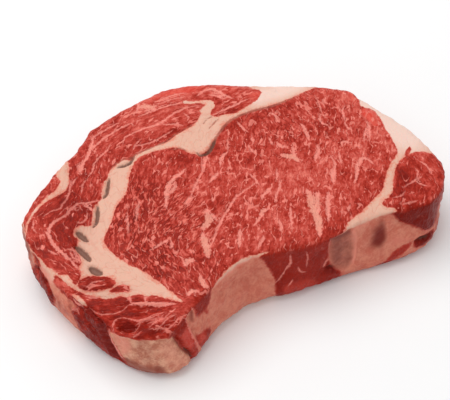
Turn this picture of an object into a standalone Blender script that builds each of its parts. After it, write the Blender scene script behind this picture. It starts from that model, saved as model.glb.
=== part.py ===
"""Raw ribeye steak: one thick boneless slice of meat, lying on its lower cut face.

Frame: +Z up, +X along the slice, +Y towards its fat-covered back edge. The origin is
under the middle of the slice, on the surface that it lies on. Lengths below are in
millimetres and become metres when the mesh is made.
"""

import bmesh
import bpy
import numpy as np
from mathutils import Matrix

MM = 0.001
NAME = "steak"
THICKNESS = 30.0

# Edge of the upper cut face, anticlockwise in plan, side by side. A station is
#   x, y     where the edge is
#   height   the edge's height as a share of THICKNESS
#   belly    how far the wall swells out beyond the edge at half height
#   foot     how far the wall stands out beyond the edge near the bottom
# Each side starts at a corner of the slice, and the next side starts where it ends.
BACK_SIDE = (
    (82.4, 14.2, 1.00, 0.6, -1.0),
    (79.6, 21.2, 1.00, 0.4, -1.2),
    (76.6, 28.9, 1.00, 0.4, -1.2),
    (67.2, 36.0, 0.99, 0.6, -1.0),
    (57.2, 42.0, 0.98, 0.8, -1.0),
    (45.2, 47.6, 0.97, 0.8, -1.0),
    (33.2, 52.6, 0.97, 0.8, -1.0),
    (24.2, 57.8, 0.97, 0.6, -1.0),
    (13.0, 62.3, 0.97, 0.6, -1.0),
    (2.0, 65.3, 0.97, 0.8, -1.0),
    (-9.0, 64.5, 0.97, 0.8, -1.0),
    (-20.0, 62.5, 0.97, 0.8, -1.0),
    (-31.2, 59.9, 0.96, 0.8, -1.0),
    (-41.0, 57.2, 0.95, 0.6, -1.2),
    (-47.5, 51.6, 0.94, 0.6, -1.2),
    (-56.5, 45.7, 0.93, 0.8, -1.2),
    (-65.5, 39.7, 0.92, 0.8, -1.2),
    (-73.5, 33.5, 0.91, 0.8, -1.2),
    (-81.5, 27.9, 0.90, 0.8, -1.2),
)
LEFT_SIDE = (
    (-87.2, 22.0, 0.90, 0.8, -1.2),
    (-89.8, 14.0, 0.89, 1.2, -1.6),
    (-89.8, 5.5, 0.88, 1.6, -1.2),
    (-88.6, -1.0, 0.87, 2.6, -0.4),
    (-85.6, -7.5, 0.86, 4.0, 0.5),
    (-81.8, -14.0, 0.85, 5.4, 2.0),
    (-80.0, -21.0, 0.85, 4.8, 2.6),
    (-79.4, -28.0, 0.84, 3.6, 1.6),
    (-78.0, -35.0, 0.83, 2.4, 1.2),
    (-76.0, -41.0, 0.82, 1.4, 0.2),
)
FRONT_SIDE = (
    (-73.0, -47.0, 0.81, 1.0, -0.2),
    (-66.0, -52.8, 0.81, 1.8, 3.0),
    (-58.0, -56.4, 0.82, 2.2, 5.0),
    (-51.0, -57.4, 0.84, 2.2, 5.6),
    (-46.0, -54.2, 0.88, 1.8, 6.2),
    (-41.0, -50.6, 0.94, 1.4, 5.8),
    (-33.0, -48.2, 0.98, 1.2, 4.0),
    (-25.0, -45.0, 1.00, 1.2, 3.8),
    (-17.0, -41.2, 1.01, 1.4, 4.8),
    (-8.0, -39.6, 1.01, 1.4, 5.4),
    (1.0, -40.8, 1.01, 1.2, 5.0),
    (11.0, -43.6, 1.01, 0.8, 3.8),
    (22.0, -45.0, 1.01, 0.4, 2.5),
    (34.0, -44.6, 1.01, 0.6, 4.2),
    (46.0, -43.6, 1.01, 1.2, 6.6),
    (58.0, -43.4, 1.01, 1.4, 7.6),
    (69.0, -45.6, 1.01, 1.2, 5.4),
    (79.0, -45.0, 1.00, 0.8, 3.0),
)
RIGHT_SIDE = (
    (87.5, -39.0, 1.00, 0.8, 1.0),
    (92.0, -30.0, 1.00, 0.8, -0.5),
    (92.6, -20.0, 1.00, 0.8, -1.0),
    (91.0, -9.0, 1.00, 0.8, -1.0),
    (87.6, 3.0, 1.00, 0.8, -1.0),
)
# The cage's faces along the long and the short sides; rounding splits each into four.
ROWS_LONG = 24
ROWS_SHORT = 10

# Wall rings from the sole up: height as a share of the edge's height, the shares of
# the station's foot and belly that the ring takes, and its own step out or in.
WALL_RINGS = (
    (0.000, 1.00, 0.00, -9.0),
    (0.000, 1.00, 0.00, -3.6),
    (0.030, 1.00, 0.10, -0.6),
    (0.150, 1.00, 0.30, 0.6),
    (0.330, 0.66, 0.80, 0.3),
    (0.520, 0.34, 1.05, 0.2),
    (0.710, 0.12, 0.80, 0.4),
    (0.880, 0.00, 0.35, 0.8),
    (0.985, 0.00, 0.00, 0.9),
    (1.000, 0.00, 0.00, -1.2),
    (1.000, 0.00, 0.00, -5.0),
)

# Upper face: the broad seam of fat round the eye sinks a little between two muscles
# that crown, and the flap of thin muscles at the tail lies in low waves.
SEAM = (
    (60.0, 38.0), (38.0, 39.0), (16.0, 36.0), (0.0, 30.0), (-20.0, 33.0), (-40.0, 27.0),
    (-52.0, 12.0), (-64.0, -2.0), (-66.0, -16.0), (-57.0, -30.0), (-46.0, -44.0),
)
SEAM_DEPTH = 0.9
SEAM_REACH = 7.0
EYE_CENTRE = (12.0, -4.0)
EYE_REACH = (58.0, 30.0)
EYE_CROWN = 0.9
TAIL_START = -20.0
TAIL_WAVE = 0.6
TAIL_WAVE_LENGTH = 14.0

MEAT_COLOUR = (0.42, 0.055, 0.040, 1.0)
MEAT_ROUGHNESS = 0.38


def clear_scene():
    """Start from an empty file."""
    for old in list(bpy.data.objects):
        bpy.data.objects.remove(old, do_unlink=True)


def spline(before, start, end, after, share):
    """Catmull-Rom point between two stations."""
    return 0.5 * (
        2.0 * start
        + (end - before) * share
        + (2.0 * before - 5.0 * start + 4.0 * end - after) * share**2
        + (3.0 * start - before - 3.0 * end + after) * share**3
    )


def spaced_side(loop, first, last, rows, fine=12):
    """Stations `first` to `last` of a closed loop, as `rows` equal steps without the last."""
    count = len(loop)
    dense = [
        spline(loop[i - 1], loop[i], loop[(i + 1) % count], loop[(i + 2) % count], step / fine)
        for i in range(first, last)
        for step in range(fine)
    ]
    dense = np.array([*dense, loop[last % count]])
    run = np.hypot(*np.diff(dense[:, :2], axis=0).T)
    travelled = np.concatenate(([0.0], np.cumsum(run)))
    wanted = np.linspace(0.0, travelled[-1], rows, endpoint=False)
    return np.array([np.interp(wanted, travelled, column) for column in dense.T]).T


def edge_stations():
    """The whole edge of the upper face, evenly spaced along each of its four sides."""
    sides = (BACK_SIDE, LEFT_SIDE, FRONT_SIDE, RIGHT_SIDE)
    loop = np.array([station for side in sides for station in side])
    ends = np.cumsum([0, *(len(side) for side in sides)])
    rows = (ROWS_LONG, ROWS_SHORT, ROWS_LONG, ROWS_SHORT)
    spaced = [spaced_side(loop, ends[i], ends[i + 1], rows[i]) for i in range(4)]
    return np.concatenate(spaced)


def outward(points):
    """Unit vectors in plan that point out of an anticlockwise loop."""
    along = np.roll(points, -1, axis=0) - np.roll(points, 1, axis=0)
    across = np.stack([along[:, 1], -along[:, 0]], axis=1)
    return across / np.linalg.norm(across, axis=1, keepdims=True)


def wall_rings(edge):
    """Rings of points from the sole, up the wall and in over the edge."""
    plan, height, belly, foot = edge[:, :2], edge[:, 2] * THICKNESS, edge[:, 3], edge[:, 4]
    away = outward(plan)
    rings = []
    for level, foot_share, belly_share, step in WALL_RINGS:
        reach = foot * foot_share + belly * belly_share + step
        ring = np.column_stack([plan + away * reach[:, None], height * level])
        rings.append(ring)
    return rings


def patch(ring):
    """Grid of points that fills a ring, blended from its four sides (a Coons patch)."""
    corner = np.cumsum([0, ROWS_LONG, ROWS_SHORT, ROWS_LONG])
    back = ring[corner[0]:corner[1] + 1]
    left = ring[corner[1]:corner[2] + 1]
    front = ring[corner[2]:corner[3] + 1][::-1]
    right = np.concatenate([ring[corner[3]:], ring[:1]])[::-1]
    u = np.linspace(0.0, 1.0, ROWS_LONG + 1)[:, None, None]
    v = np.linspace(0.0, 1.0, ROWS_SHORT + 1)[None, :, None]
    long_blend = back[:, None] * (1 - v) + front[:, None] * v
    short_blend = right[None] * (1 - u) + left[None] * u
    corners = (
        back[0] * (1 - u) * (1 - v)
        + back[-1] * u * (1 - v)
        + front[0] * (1 - u) * v
        + front[-1] * u * v
    )
    return long_blend + short_blend - corners


def distance_to_line(x, y, line):
    """Distance in plan from each point to a run of straight pieces."""
    nearest = np.full(x.shape, np.inf)
    for (ax, ay), (bx, by) in zip(line[:-1], line[1:]):
        dx, dy = bx - ax, by - ay
        share = np.clip(((x - ax) * dx + (y - ay) * dy) / (dx * dx + dy * dy), 0.0, 1.0)
        nearest = np.minimum(nearest, np.hypot(x - ax - share * dx, y - ay - share * dy))
    return nearest


def upper_relief(x, y):
    """Height of the upper face above the plain blend of its edge."""
    seam = -SEAM_DEPTH * np.exp(-((distance_to_line(x, y, SEAM) / SEAM_REACH) ** 2))
    eye_x = (x - EYE_CENTRE[0]) / EYE_REACH[0]
    eye_y = (y - EYE_CENTRE[1]) / EYE_REACH[1]
    crown = EYE_CROWN * np.exp(-(eye_x**2 + eye_y**2))
    in_tail = np.clip((TAIL_START - y) / TAIL_WAVE_LENGTH, 0.0, 1.0) * (x < SEAM[-1][0])
    waves = TAIL_WAVE * in_tail * np.sin(2.0 * np.pi * (TAIL_START - y) / TAIL_WAVE_LENGTH)
    return seam + crown + waves


def add_patch_faces(bm, rim_verts, grid, facing_up):
    """Fill a ring of vertices with the inner points of its patch."""
    corner = np.cumsum([0, ROWS_LONG, ROWS_SHORT, ROWS_LONG])

    def vertex(i, j):
        if j == 0:
            return rim_verts[i]
        if i == ROWS_LONG:
            return rim_verts[corner[1] + j]
        if j == ROWS_SHORT:
            return rim_verts[corner[3] - i]
        if i == 0:
            return rim_verts[(corner[3] + ROWS_SHORT - j) % len(rim_verts)]
        return inner[i, j]

    inner = {
        (i, j): bm.verts.new(grid[i, j] * MM)
        for i in range(1, ROWS_LONG)
        for j in range(1, ROWS_SHORT)
    }
    for i in range(ROWS_LONG):
        for j in range(ROWS_SHORT):
            face = [vertex(i, j), vertex(i + 1, j), vertex(i + 1, j + 1), vertex(i, j + 1)]
            bm.faces.new(face if facing_up else face[::-1])


def steak_cage():
    """Coarse closed cage: a patch below, the wall's rings, and a patch above."""
    rings = wall_rings(edge_stations())
    bm = bmesh.new()
    levels = [[bm.verts.new(point * MM) for point in ring] for ring in rings]
    count = len(levels[0])
    for lower, upper in zip(levels[:-1], levels[1:]):
        for i in range(count):
            j = (i + 1) % count
            bm.faces.new((lower[i], lower[j], upper[j], upper[i]))
    add_patch_faces(bm, levels[0], patch(rings[0]), facing_up=False)
    top = patch(rings[-1])
    top[..., 2] += upper_relief(top[..., 0], top[..., 1])
    add_patch_faces(bm, levels[-1], top, facing_up=True)
    return bm


def centre_over_origin(steak):
    """Move the cage so that the middle of the rounded slice's plan is over the origin."""
    bpy.context.view_layer.update()
    rounded = steak.evaluated_get(bpy.context.evaluated_depsgraph_get())
    plan = np.array([vert.co[:2] for vert in rounded.to_mesh().vertices])
    rounded.to_mesh_clear()
    middle = (plan.min(axis=0) + plan.max(axis=0)) / 2
    steak.data.transform(Matrix.Translation((-middle[0], -middle[1], 0.0)))


def meat_material():
    """Plain moist lean, the colour that most of the slice has."""
    material = bpy.data.materials.new("meat")
    material.use_nodes = True
    shader = material.node_tree.nodes["Principled BSDF"]
    shader.inputs["Base Color"].default_value = MEAT_COLOUR
    shader.inputs["Roughness"].default_value = MEAT_ROUGHNESS
    shader.inputs["Metallic"].default_value = 0.0
    return material


def build_steak(collection):
    """The steak: the cage rounded by one step of subdivision, centred and coloured."""
    bm = steak_cage()
    mesh = bpy.data.meshes.new(NAME)
    bm.to_mesh(mesh)
    bm.free()
    steak = bpy.data.objects.new(NAME, mesh)
    collection.objects.link(steak)
    rounding = steak.modifiers.new("Rounding", "SUBSURF")
    rounding.levels = 1
    rounding.render_levels = 1
    mesh.materials.append(meat_material())
    mesh.shade_smooth()
    centre_over_origin(steak)


def main():
    clear_scene()
    collection = bpy.data.collections.new("ribeye_steak")
    bpy.context.scene.collection.children.link(collection)
    build_steak(collection)


main()
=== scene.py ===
"""A raw ribeye steak on a plain pale floor, in soft studio light.

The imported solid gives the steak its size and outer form. This script refines that form
into a fine mesh, draws the muscles, fat seams and marbling of the cut face on it as
distances that the finish reads, and gives the surface its relief.

The chart is the drawing of the upper cut face, in millimetres, with +X along the steak
and +Y towards the cap muscle. The wall chart is the side unrolled: how far a place lies
along the wall, anticlockwise from the tip of the tail, and how high it is.
"""

from __future__ import annotations

import logging
import math
from dataclasses import dataclass
from enum import Enum

import bmesh
import bpy
import numpy as np
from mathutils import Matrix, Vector


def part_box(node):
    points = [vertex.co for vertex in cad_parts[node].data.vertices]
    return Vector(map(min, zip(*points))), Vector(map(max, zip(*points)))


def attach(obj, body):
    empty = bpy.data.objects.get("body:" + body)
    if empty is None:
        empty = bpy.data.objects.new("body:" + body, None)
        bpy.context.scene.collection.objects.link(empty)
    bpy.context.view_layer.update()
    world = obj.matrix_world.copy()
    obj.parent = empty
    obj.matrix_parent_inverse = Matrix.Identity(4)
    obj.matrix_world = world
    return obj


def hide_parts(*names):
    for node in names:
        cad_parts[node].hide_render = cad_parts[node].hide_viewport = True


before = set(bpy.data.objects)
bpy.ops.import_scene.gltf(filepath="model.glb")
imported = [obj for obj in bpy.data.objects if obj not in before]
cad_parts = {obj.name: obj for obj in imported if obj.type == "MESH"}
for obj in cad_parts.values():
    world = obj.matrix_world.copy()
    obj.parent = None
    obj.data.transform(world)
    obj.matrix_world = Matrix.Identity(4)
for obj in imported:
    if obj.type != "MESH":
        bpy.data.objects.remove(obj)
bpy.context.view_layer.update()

MM = 0.001
NODE = "steak"
BODY = "root"
WELD = 0.02 * MM
FAR = 9.0
# Fibres are drawn along this many fixed ways; the focus says how sharply they give over.
FIBRE_WAYS = 6
FIBRE_FOCUS = 8
LOG = logging.getLogger("ribeye")

Point = tuple[float, float]
Point3 = tuple[float, float, float]
Line = tuple[Point, ...]


# ---------------------------------------------------------------- numbers on the chart


def smooth_line(points: Line, steps: int = 3, closed: bool = False) -> np.ndarray:
    """Runs a smooth curve through given points.

    Args:
        points: the points, in order.
        steps: pieces between one point and the next.
        closed: whether the last point joins the first.

    Returns:
        The curve's points, one row each.
    """
    line = np.array(points, float)
    if closed:
        around = np.concatenate([line[-1:], line, line[:2]])
    else:
        around = np.concatenate([2 * line[:1] - line[1:2], line, 2 * line[-1:] - line[-2:-1]])
    share = (np.arange(steps) / steps)[:, None]
    pieces = []
    for i in range(1, len(around) - 2):
        a, b, c, d = around[i - 1:i + 3]
        pieces.append(0.5 * (
            2 * b + (c - a) * share + (2 * a - 5 * b + 4 * c - d) * share**2
            + (3 * b - a - 3 * c + d) * share**3
        ))
    if not closed:
        pieces.append(line[-1:])
    return np.concatenate(pieces)


def near_line(spots: np.ndarray, line: np.ndarray) -> tuple[np.ndarray, np.ndarray, np.ndarray]:
    """Measures spots against a line.

    Args:
        spots: places on the chart, one row each.
        line: the line's points.

    Returns:
        Each spot's distance, the same with a minus sign on the line's right, and how far
        along the line the nearest place is, from 0 to 1.
    """
    gap = np.full(len(spots), np.inf)
    side = np.full(len(spots), FAR)
    along = np.zeros(len(spots))
    runs = np.hypot(*np.diff(line, axis=0).T)
    starts = np.concatenate([[0.0], np.cumsum(runs)])
    for start, end, run, before in zip(line[:-1], line[1:], runs, starts):
        if run < 1e-6:
            continue
        way = (end - start) / run
        rel = spots - start
        reach = np.clip(rel @ way, 0.0, run)
        off = rel - reach[:, None] * way
        here = np.hypot(off[:, 0], off[:, 1])
        closer = here < gap
        gap[closer] = here[closer]
        left = way[0] * rel[closer, 1] - way[1] * rel[closer, 0]
        side[closer] = np.where(left < 0, -1.0, 1.0) * here[closer]
        along[closer] = (before + reach[closer]) / starts[-1]
    return gap, side, along


def inside(spots: np.ndarray, outline: np.ndarray) -> np.ndarray:
    """Tells which spots lie inside a closed outline, by counting the edges to their right."""
    x, y = spots.T
    within = np.zeros(len(spots), bool)
    for (ax, ay), (bx, by) in zip(outline, np.roll(outline, -1, axis=0)):
        if ay == by:
            continue
        crosses = (ay > y) != (by > y)
        within ^= crosses & (x < ax + (y - ay) * (bx - ax) / (by - ay))
    return within


def depth_in(spots: np.ndarray, points: Line, reach: float = FAR) -> np.ndarray:
    """How deep each spot lies inside a smooth closed patch, minus outside, capped at reach."""
    outline = smooth_line(points, closed=True)
    depth = np.full(len(spots), -reach)
    low, high = outline.min(axis=0) - reach, outline.max(axis=0) + reach
    close = ((spots > low) & (spots < high)).all(axis=1)
    ring = np.concatenate([outline, outline[:1]])
    gap = np.minimum(near_line(spots[close], ring)[0], reach)
    depth[close] = np.where(inside(spots[close], outline), gap, -gap)
    return depth


def ease(value: np.ndarray, low: float, high: float) -> np.ndarray:
    """Rises smoothly from 0 at low to 1 at high."""
    share = np.clip((value - low) / (high - low), 0.0, 1.0)
    return share * share * (3 - 2 * share)


def lattice(cells: np.ndarray, seed: int) -> np.ndarray:
    """A fixed value from -1 to 1 for every corner of an endless grid."""
    x, y, z = (cells[:, i].astype(np.int64) for i in range(3))
    mixed = (x * 374761393 + y * 668265263 + z * 1274126177 + seed * 362437) & 0xFFFFFFFF
    mixed = ((mixed ^ (mixed >> 13)) * 1103515245) & 0xFFFFFFFF
    return ((mixed ^ (mixed >> 16)) & 0xFFFF) / 32767.5 - 1.0


def noise(places: np.ndarray, size: float, seed: int, octaves: int = 1) -> np.ndarray:
    """Smooth noise from -1 to 1.

    Args:
        places: positions in millimetres, one row of three each.
        size: the width of its bumps, in millimetres.
        seed: which of many patterns.
        octaves: how many layers, each half as wide and half as strong.

    Returns:
        One value for each place.
    """
    total = np.zeros(len(places))
    for octave in range(octaves):
        at = places / size * 2**octave + 19.7 * octave
        cell = np.floor(at)
        share = at - cell
        faded = share**3 * (share * (share * 6 - 15) + 10)
        for corner in np.ndindex(2, 2, 2):
            weight = np.prod(np.where(corner, faded, 1 - faded), axis=1)
            rise = sum(
                lattice(cell + corner, seed + octave + 31 * axis) * (share[:, axis] - corner[axis])
                for axis in range(3)
            )
            total += 1.6 * weight * rise / 2**octave
    return total


# ---------------------------------------------------------------------- the cut face


@dataclass(frozen=True)
class Streak:
    """A line of fat or sinew on a chart, with its half width in millimetres."""

    width: float
    points: Line

    def widths(self, along: np.ndarray) -> np.ndarray:
        """The half width at each share of the length, thinning towards both ends."""
        return self.width * np.sqrt(np.clip(4.6 * along * (1 - along), 0.0, 1.0))


@dataclass(frozen=True)
class Fold:
    """A crease, or a ridge where its rise is above 0, along a line of a chart."""

    rise: float
    width: float
    points: Line

    def added(self, heights: np.ndarray, spots: np.ndarray) -> np.ndarray:
        """The heights with the fold's own rise added, fading out towards its ends."""
        gap, _, along = near_line(spots, smooth_line(self.points))
        ends = np.sqrt(np.clip(5 * along * (1 - along), 0, 1))
        return heights + self.rise * ends * np.exp(-((gap / self.width) ** 2))


@dataclass(frozen=True)
class Blob:
    """A soft round area: its middle, its reach each way and its strength."""

    x: float
    y: float
    wide: float
    high: float
    strength: float

    def over(self, spots: np.ndarray) -> np.ndarray:
        """The blob's strength at each spot, fading out with distance."""
        x = (spots[:, 0] - self.x) / self.wide
        y = (spots[:, 1] - self.y) / self.high
        return self.strength * np.exp(-(x * x + y * y))


@dataclass(frozen=True)
class ToneAndShadingArea:
    """A lighter (+) or darker (-) patch with an outline, and how soft its edge is. It draws the flesh's own tone,
    and also painted shade and painted highlights.
    """

    strength: float
    soft: float
    outline: Line

    def over(self, spots: np.ndarray) -> np.ndarray:
        """The stain's strength at each spot."""
        return self.strength * ease(depth_in(spots, self.outline), -self.soft, self.soft)


@dataclass(frozen=True)
class Grain:
    """The way the fibres run near one place of the chart, in degrees from +X."""

    x: float
    y: float
    degrees: float


SEAM_FAT: Line = (
    (30, 58), (32, 53), (35.5, 49.3), (39, 45.3), (34.5, 41.5), (30, 40), (26, 38.9), (22, 38.2),
    (17, 39.3), (13, 39.8), (11.5, 41), (11.3, 42.5), (13, 44), (15.5, 46), (16, 49), (14.5, 51),
    (11, 52.5), (6, 54), (4, 55.5), (2.5, 54.8), (4, 53), (7.5, 51.5), (10, 50.3), (11.6, 48.8),
    (9, 47.6), (7.5, 46), (7.6, 44.5), (5.5, 42.8), (3.6, 41), (1, 39.3), (-2, 38.4), (-6, 37.8),
    (-10, 36.2), (-14, 35.2), (-20, 34.6), (-27, 34), (-31, 33.2), (-33, 32), (-36, 32.6),
    (-39.5, 31.8), (-43, 30.3), (-45, 28), (-46.5, 26), (-49.5, 23.5), (-51.5, 20), (-53, 16.5),
    (-54.5, 14.8), (-56.5, 13.6), (-59, 11), (-60.6, 7.5), (-62.6, 4.3), (-64, 3.8), (-66.5, 5.3),
    (-69.5, 4.8), (-71.3, 2), (-70.8, -1), (-72, -3.5), (-73.5, -6), (-73.2, -10), (-73.7, -13.5),
    (-75.5, -15), (-75.6, -19), (-77, -21), (-79, -23), (-80.5, -25), (-79.5, -27.5),
    (-76.5, -30.5), (-73, -33.8), (-70, -35.2), (-66, -36.3), (-63, -38), (-61.5, -38.4),
    (-57.5, -38.8), (-55.5, -41), (-52, -42.3), (-49.5, -44.6), (-47, -47), (-43, -49.8),
    (-44.5, -45), (-46, -41), (-47.5, -37), (-49.3, -33), (-51.3, -29), (-54, -25), (-56, -22.5),
    (-57, -20), (-58.5, -17.5), (-59.5, -14), (-60.7, -10.5), (-61, -7.8), (-59, -4),
    (-56.5, -1.3), (-53.5, 2.5), (-51, 6), (-48, 9.2), (-45, 11.5), (-42, 14.5), (-39.5, 18.5),
    (-37.5, 22), (-35, 25.6), (-33, 28), (-31, 30), (-28, 31.3), (-23, 31.8), (-18, 31.2),
    (-13, 30), (-10.5, 28.7), (-9, 26.8), (-7.8, 24.3), (-5.5, 22.5), (-4, 20.8), (-2.3, 21.8),
    (0, 22), (3, 24), (6, 26.5), (9, 29), (12, 31.5), (16, 34), (20, 35.2), (25, 36), (30, 36),
    (36, 35.6), (43, 35.3), (50, 35.8), (56, 36.3), (62, 36.8), (67, 36.8), (71, 38), (62, 50),
    (45, 58),
)
RIGHT_FAT: Line = (
    (80, 23), (77.8, 19), (77.3, 17), (79, 15), (81, 13), (81.5, 9), (81.3, 5), (80.2, 1),
    (80.2, -4), (79.5, -9), (79, -13), (77.5, -15.5), (74.5, -17.8), (71, -20.7), (68, -23.2),
    (65, -26.5), (62, -30.2), (59.5, -32.6), (55, -34.6), (50, -37), (45, -39.3), (40, -41),
    (36.5, -43), (35.3, -44.6), (37, -48), (50, -49), (60, -48), (61, -44), (59.5, -42),
    (57, -39.7), (57.5, -37.8), (61, -36.9), (64, -35.2), (66, -32), (68.5, -28.5), (71, -25.3),
    (74, -22.3), (77.5, -20), (81, -19), (84.5, -18.5), (88, -19.5), (91, -22), (99, -24),
    (99, -8), (93, 8), (86, 20),
)
RIM_FAT: Line = (
    (-56, 47.5), (-58.5, 42.5), (-60, 38), (-61.5, 33.5), (-63.5, 29), (-66.5, 26.3),
    (-70, 25.4), (-75, 24.6), (-80, 21.8), (-84, 18.4), (-87, 14.8), (-89.6, 10.6), (-90.8, 11),
    (-87.6, 16.2), (-84.2, 20), (-80, 23.8), (-75, 26.6), (-70.5, 28.4), (-68, 30.5), (-66.3, 33),
    (-66.6, 36.5), (-64, 43),
)
SHOULDER_FAT: Line = (
    (-91, 3.5), (-90, 0), (-89, -3), (-87.8, -6.6), (-86.4, -10.4), (-84.6, -13), (-83.6, -14.6),
    (-85.4, -15.4), (-86.6, -17.4), (-87, -21), (-86.6, -25), (-86, -28.6), (-88, -31),
    (-92, -31), (-97, -20), (-97, -4),
)
SHOULDER_POCKET: Line = (
    (-85.2, -14.6), (-83.4, -15.8), (-81.4, -17), (-80.4, -19), (-80, -22), (-79.3, -25),
    (-78.2, -27.6), (-79.6, -27), (-81.4, -24.6), (-82.6, -21.6), (-84, -18),
)
TAIL_LOBE: Line = (
    (-83.6, -27.6), (-82, -27), (-80.8, -28.4), (-79.8, -31.4), (-79.4, -33.6), (-80.4, -35.4),
    (-82.2, -35), (-83.4, -32),
)
FRONT_LIP: Line = (
    (-27.6, -48.4), (-26.4, -46.7), (-22.4, -43.7), (-17.2, -41.4), (-12.1, -40.3), (-6.8, -40.1),
    (-1.3, -40.9), (3.1, -42.9), (4.4, -45), (4, -56), (-30, -62),
)
FAT_AREAS: tuple[Line, ...] = (
    SEAM_FAT, RIGHT_FAT, RIM_FAT, SHOULDER_FAT, SHOULDER_POCKET, TAIL_LOBE, FRONT_LIP,
)

LEAN_ISLANDS: tuple[Line, ...] = (
    ((-79, -24.5), (-77.5, -22.3), (-74.5, -21.4), (-70, -23), (-66.5, -25.2), (-64.3, -28),
     (-64.8, -30), (-67.5, -30.2), (-71, -29.8), (-74, -28.7), (-77, -27)),
    ((-68.5, -32.3), (-66, -31.2), (-63, -31.2), (-60.3, -33), (-61, -35), (-63.5, -34.6),
     (-66, -33.6)),
    ((80.3, -18.6), (81, -17), (83, -15.6), (84.6, -14.6), (84.3, -16.6), (82.5, -18)),
)

# Pits where the fat has parted from the muscle. They are sunk into the surface and coloured dark, partly as painted
# shade in the hollow.
PITS: tuple[Streak, ...] = (
    Streak(0.75, ((-40.6, 30.2), (-37, 29.7), (-34, 30), (-32.4, 31.4), (-30.6, 33))),
    Streak(0.8, ((-52.6, 15.6), (-50.4, 17), (-48.6, 20), (-47, 23), (-45.3, 25.6))),
    Streak(0.85, ((-62.8, 2.4), (-60, 4), (-58.2, 7.2), (-57, 10.4), (-56, 13.2))),
    Streak(1.3, ((-69.4, 3.6), (-68.8, 1), (-67.8, -1.6), (-66.8, -4.2))),
    Streak(1.3, ((-72.8, -3.8), (-71.6, -7), (-70.4, -10.4), (-69.6, -14.4))),
    Streak(1.7, ((-71.2, -16.6), (-70.4, -18.6), (-69.4, -20.6), (-67.2, -22.2))),
    Streak(1.0, ((-4.4, 23.6), (-2.6, 20.6), (0.4, 21), (3.4, 23.4), (7, 27))),
)
# Lines of silverskin along the seams' edges. Their dark colour is also painted shadow where a seam stands above the
# muscle beside it.
SKIN_AND_SHADOW_LINES: tuple[Streak, ...] = (
    Streak(0.75, ((-2, 20), (3.6, 24.2), (8, 28), (12, 31.3), (17, 34.2), (22, 35.4), (27, 36),
                  (33, 35.7), (40, 35.1), (48, 35.2), (55, 35.8))),
    Streak(0.42, ((-44, 29.4), (-40, 32), (-36, 33), (-32.4, 32.4), (-28, 34), (-20, 34.5),
                  (-13, 35.4), (-8, 37.6), (-3, 38.8), (1, 39.8), (4, 42))),
    Streak(0.5, ((-14.6, 29.8), (-12, 29.2), (-9.8, 28.4), (-8.5, 26.8), (-8, 25))),
    Streak(0.35, ((5.4, 37.8), (8.4, 39.8), (12, 40.8))),
    Streak(0.35, ((6.4, 33.8), (9, 35.4), (12, 37.2), (15, 38.6))),
)

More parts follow.
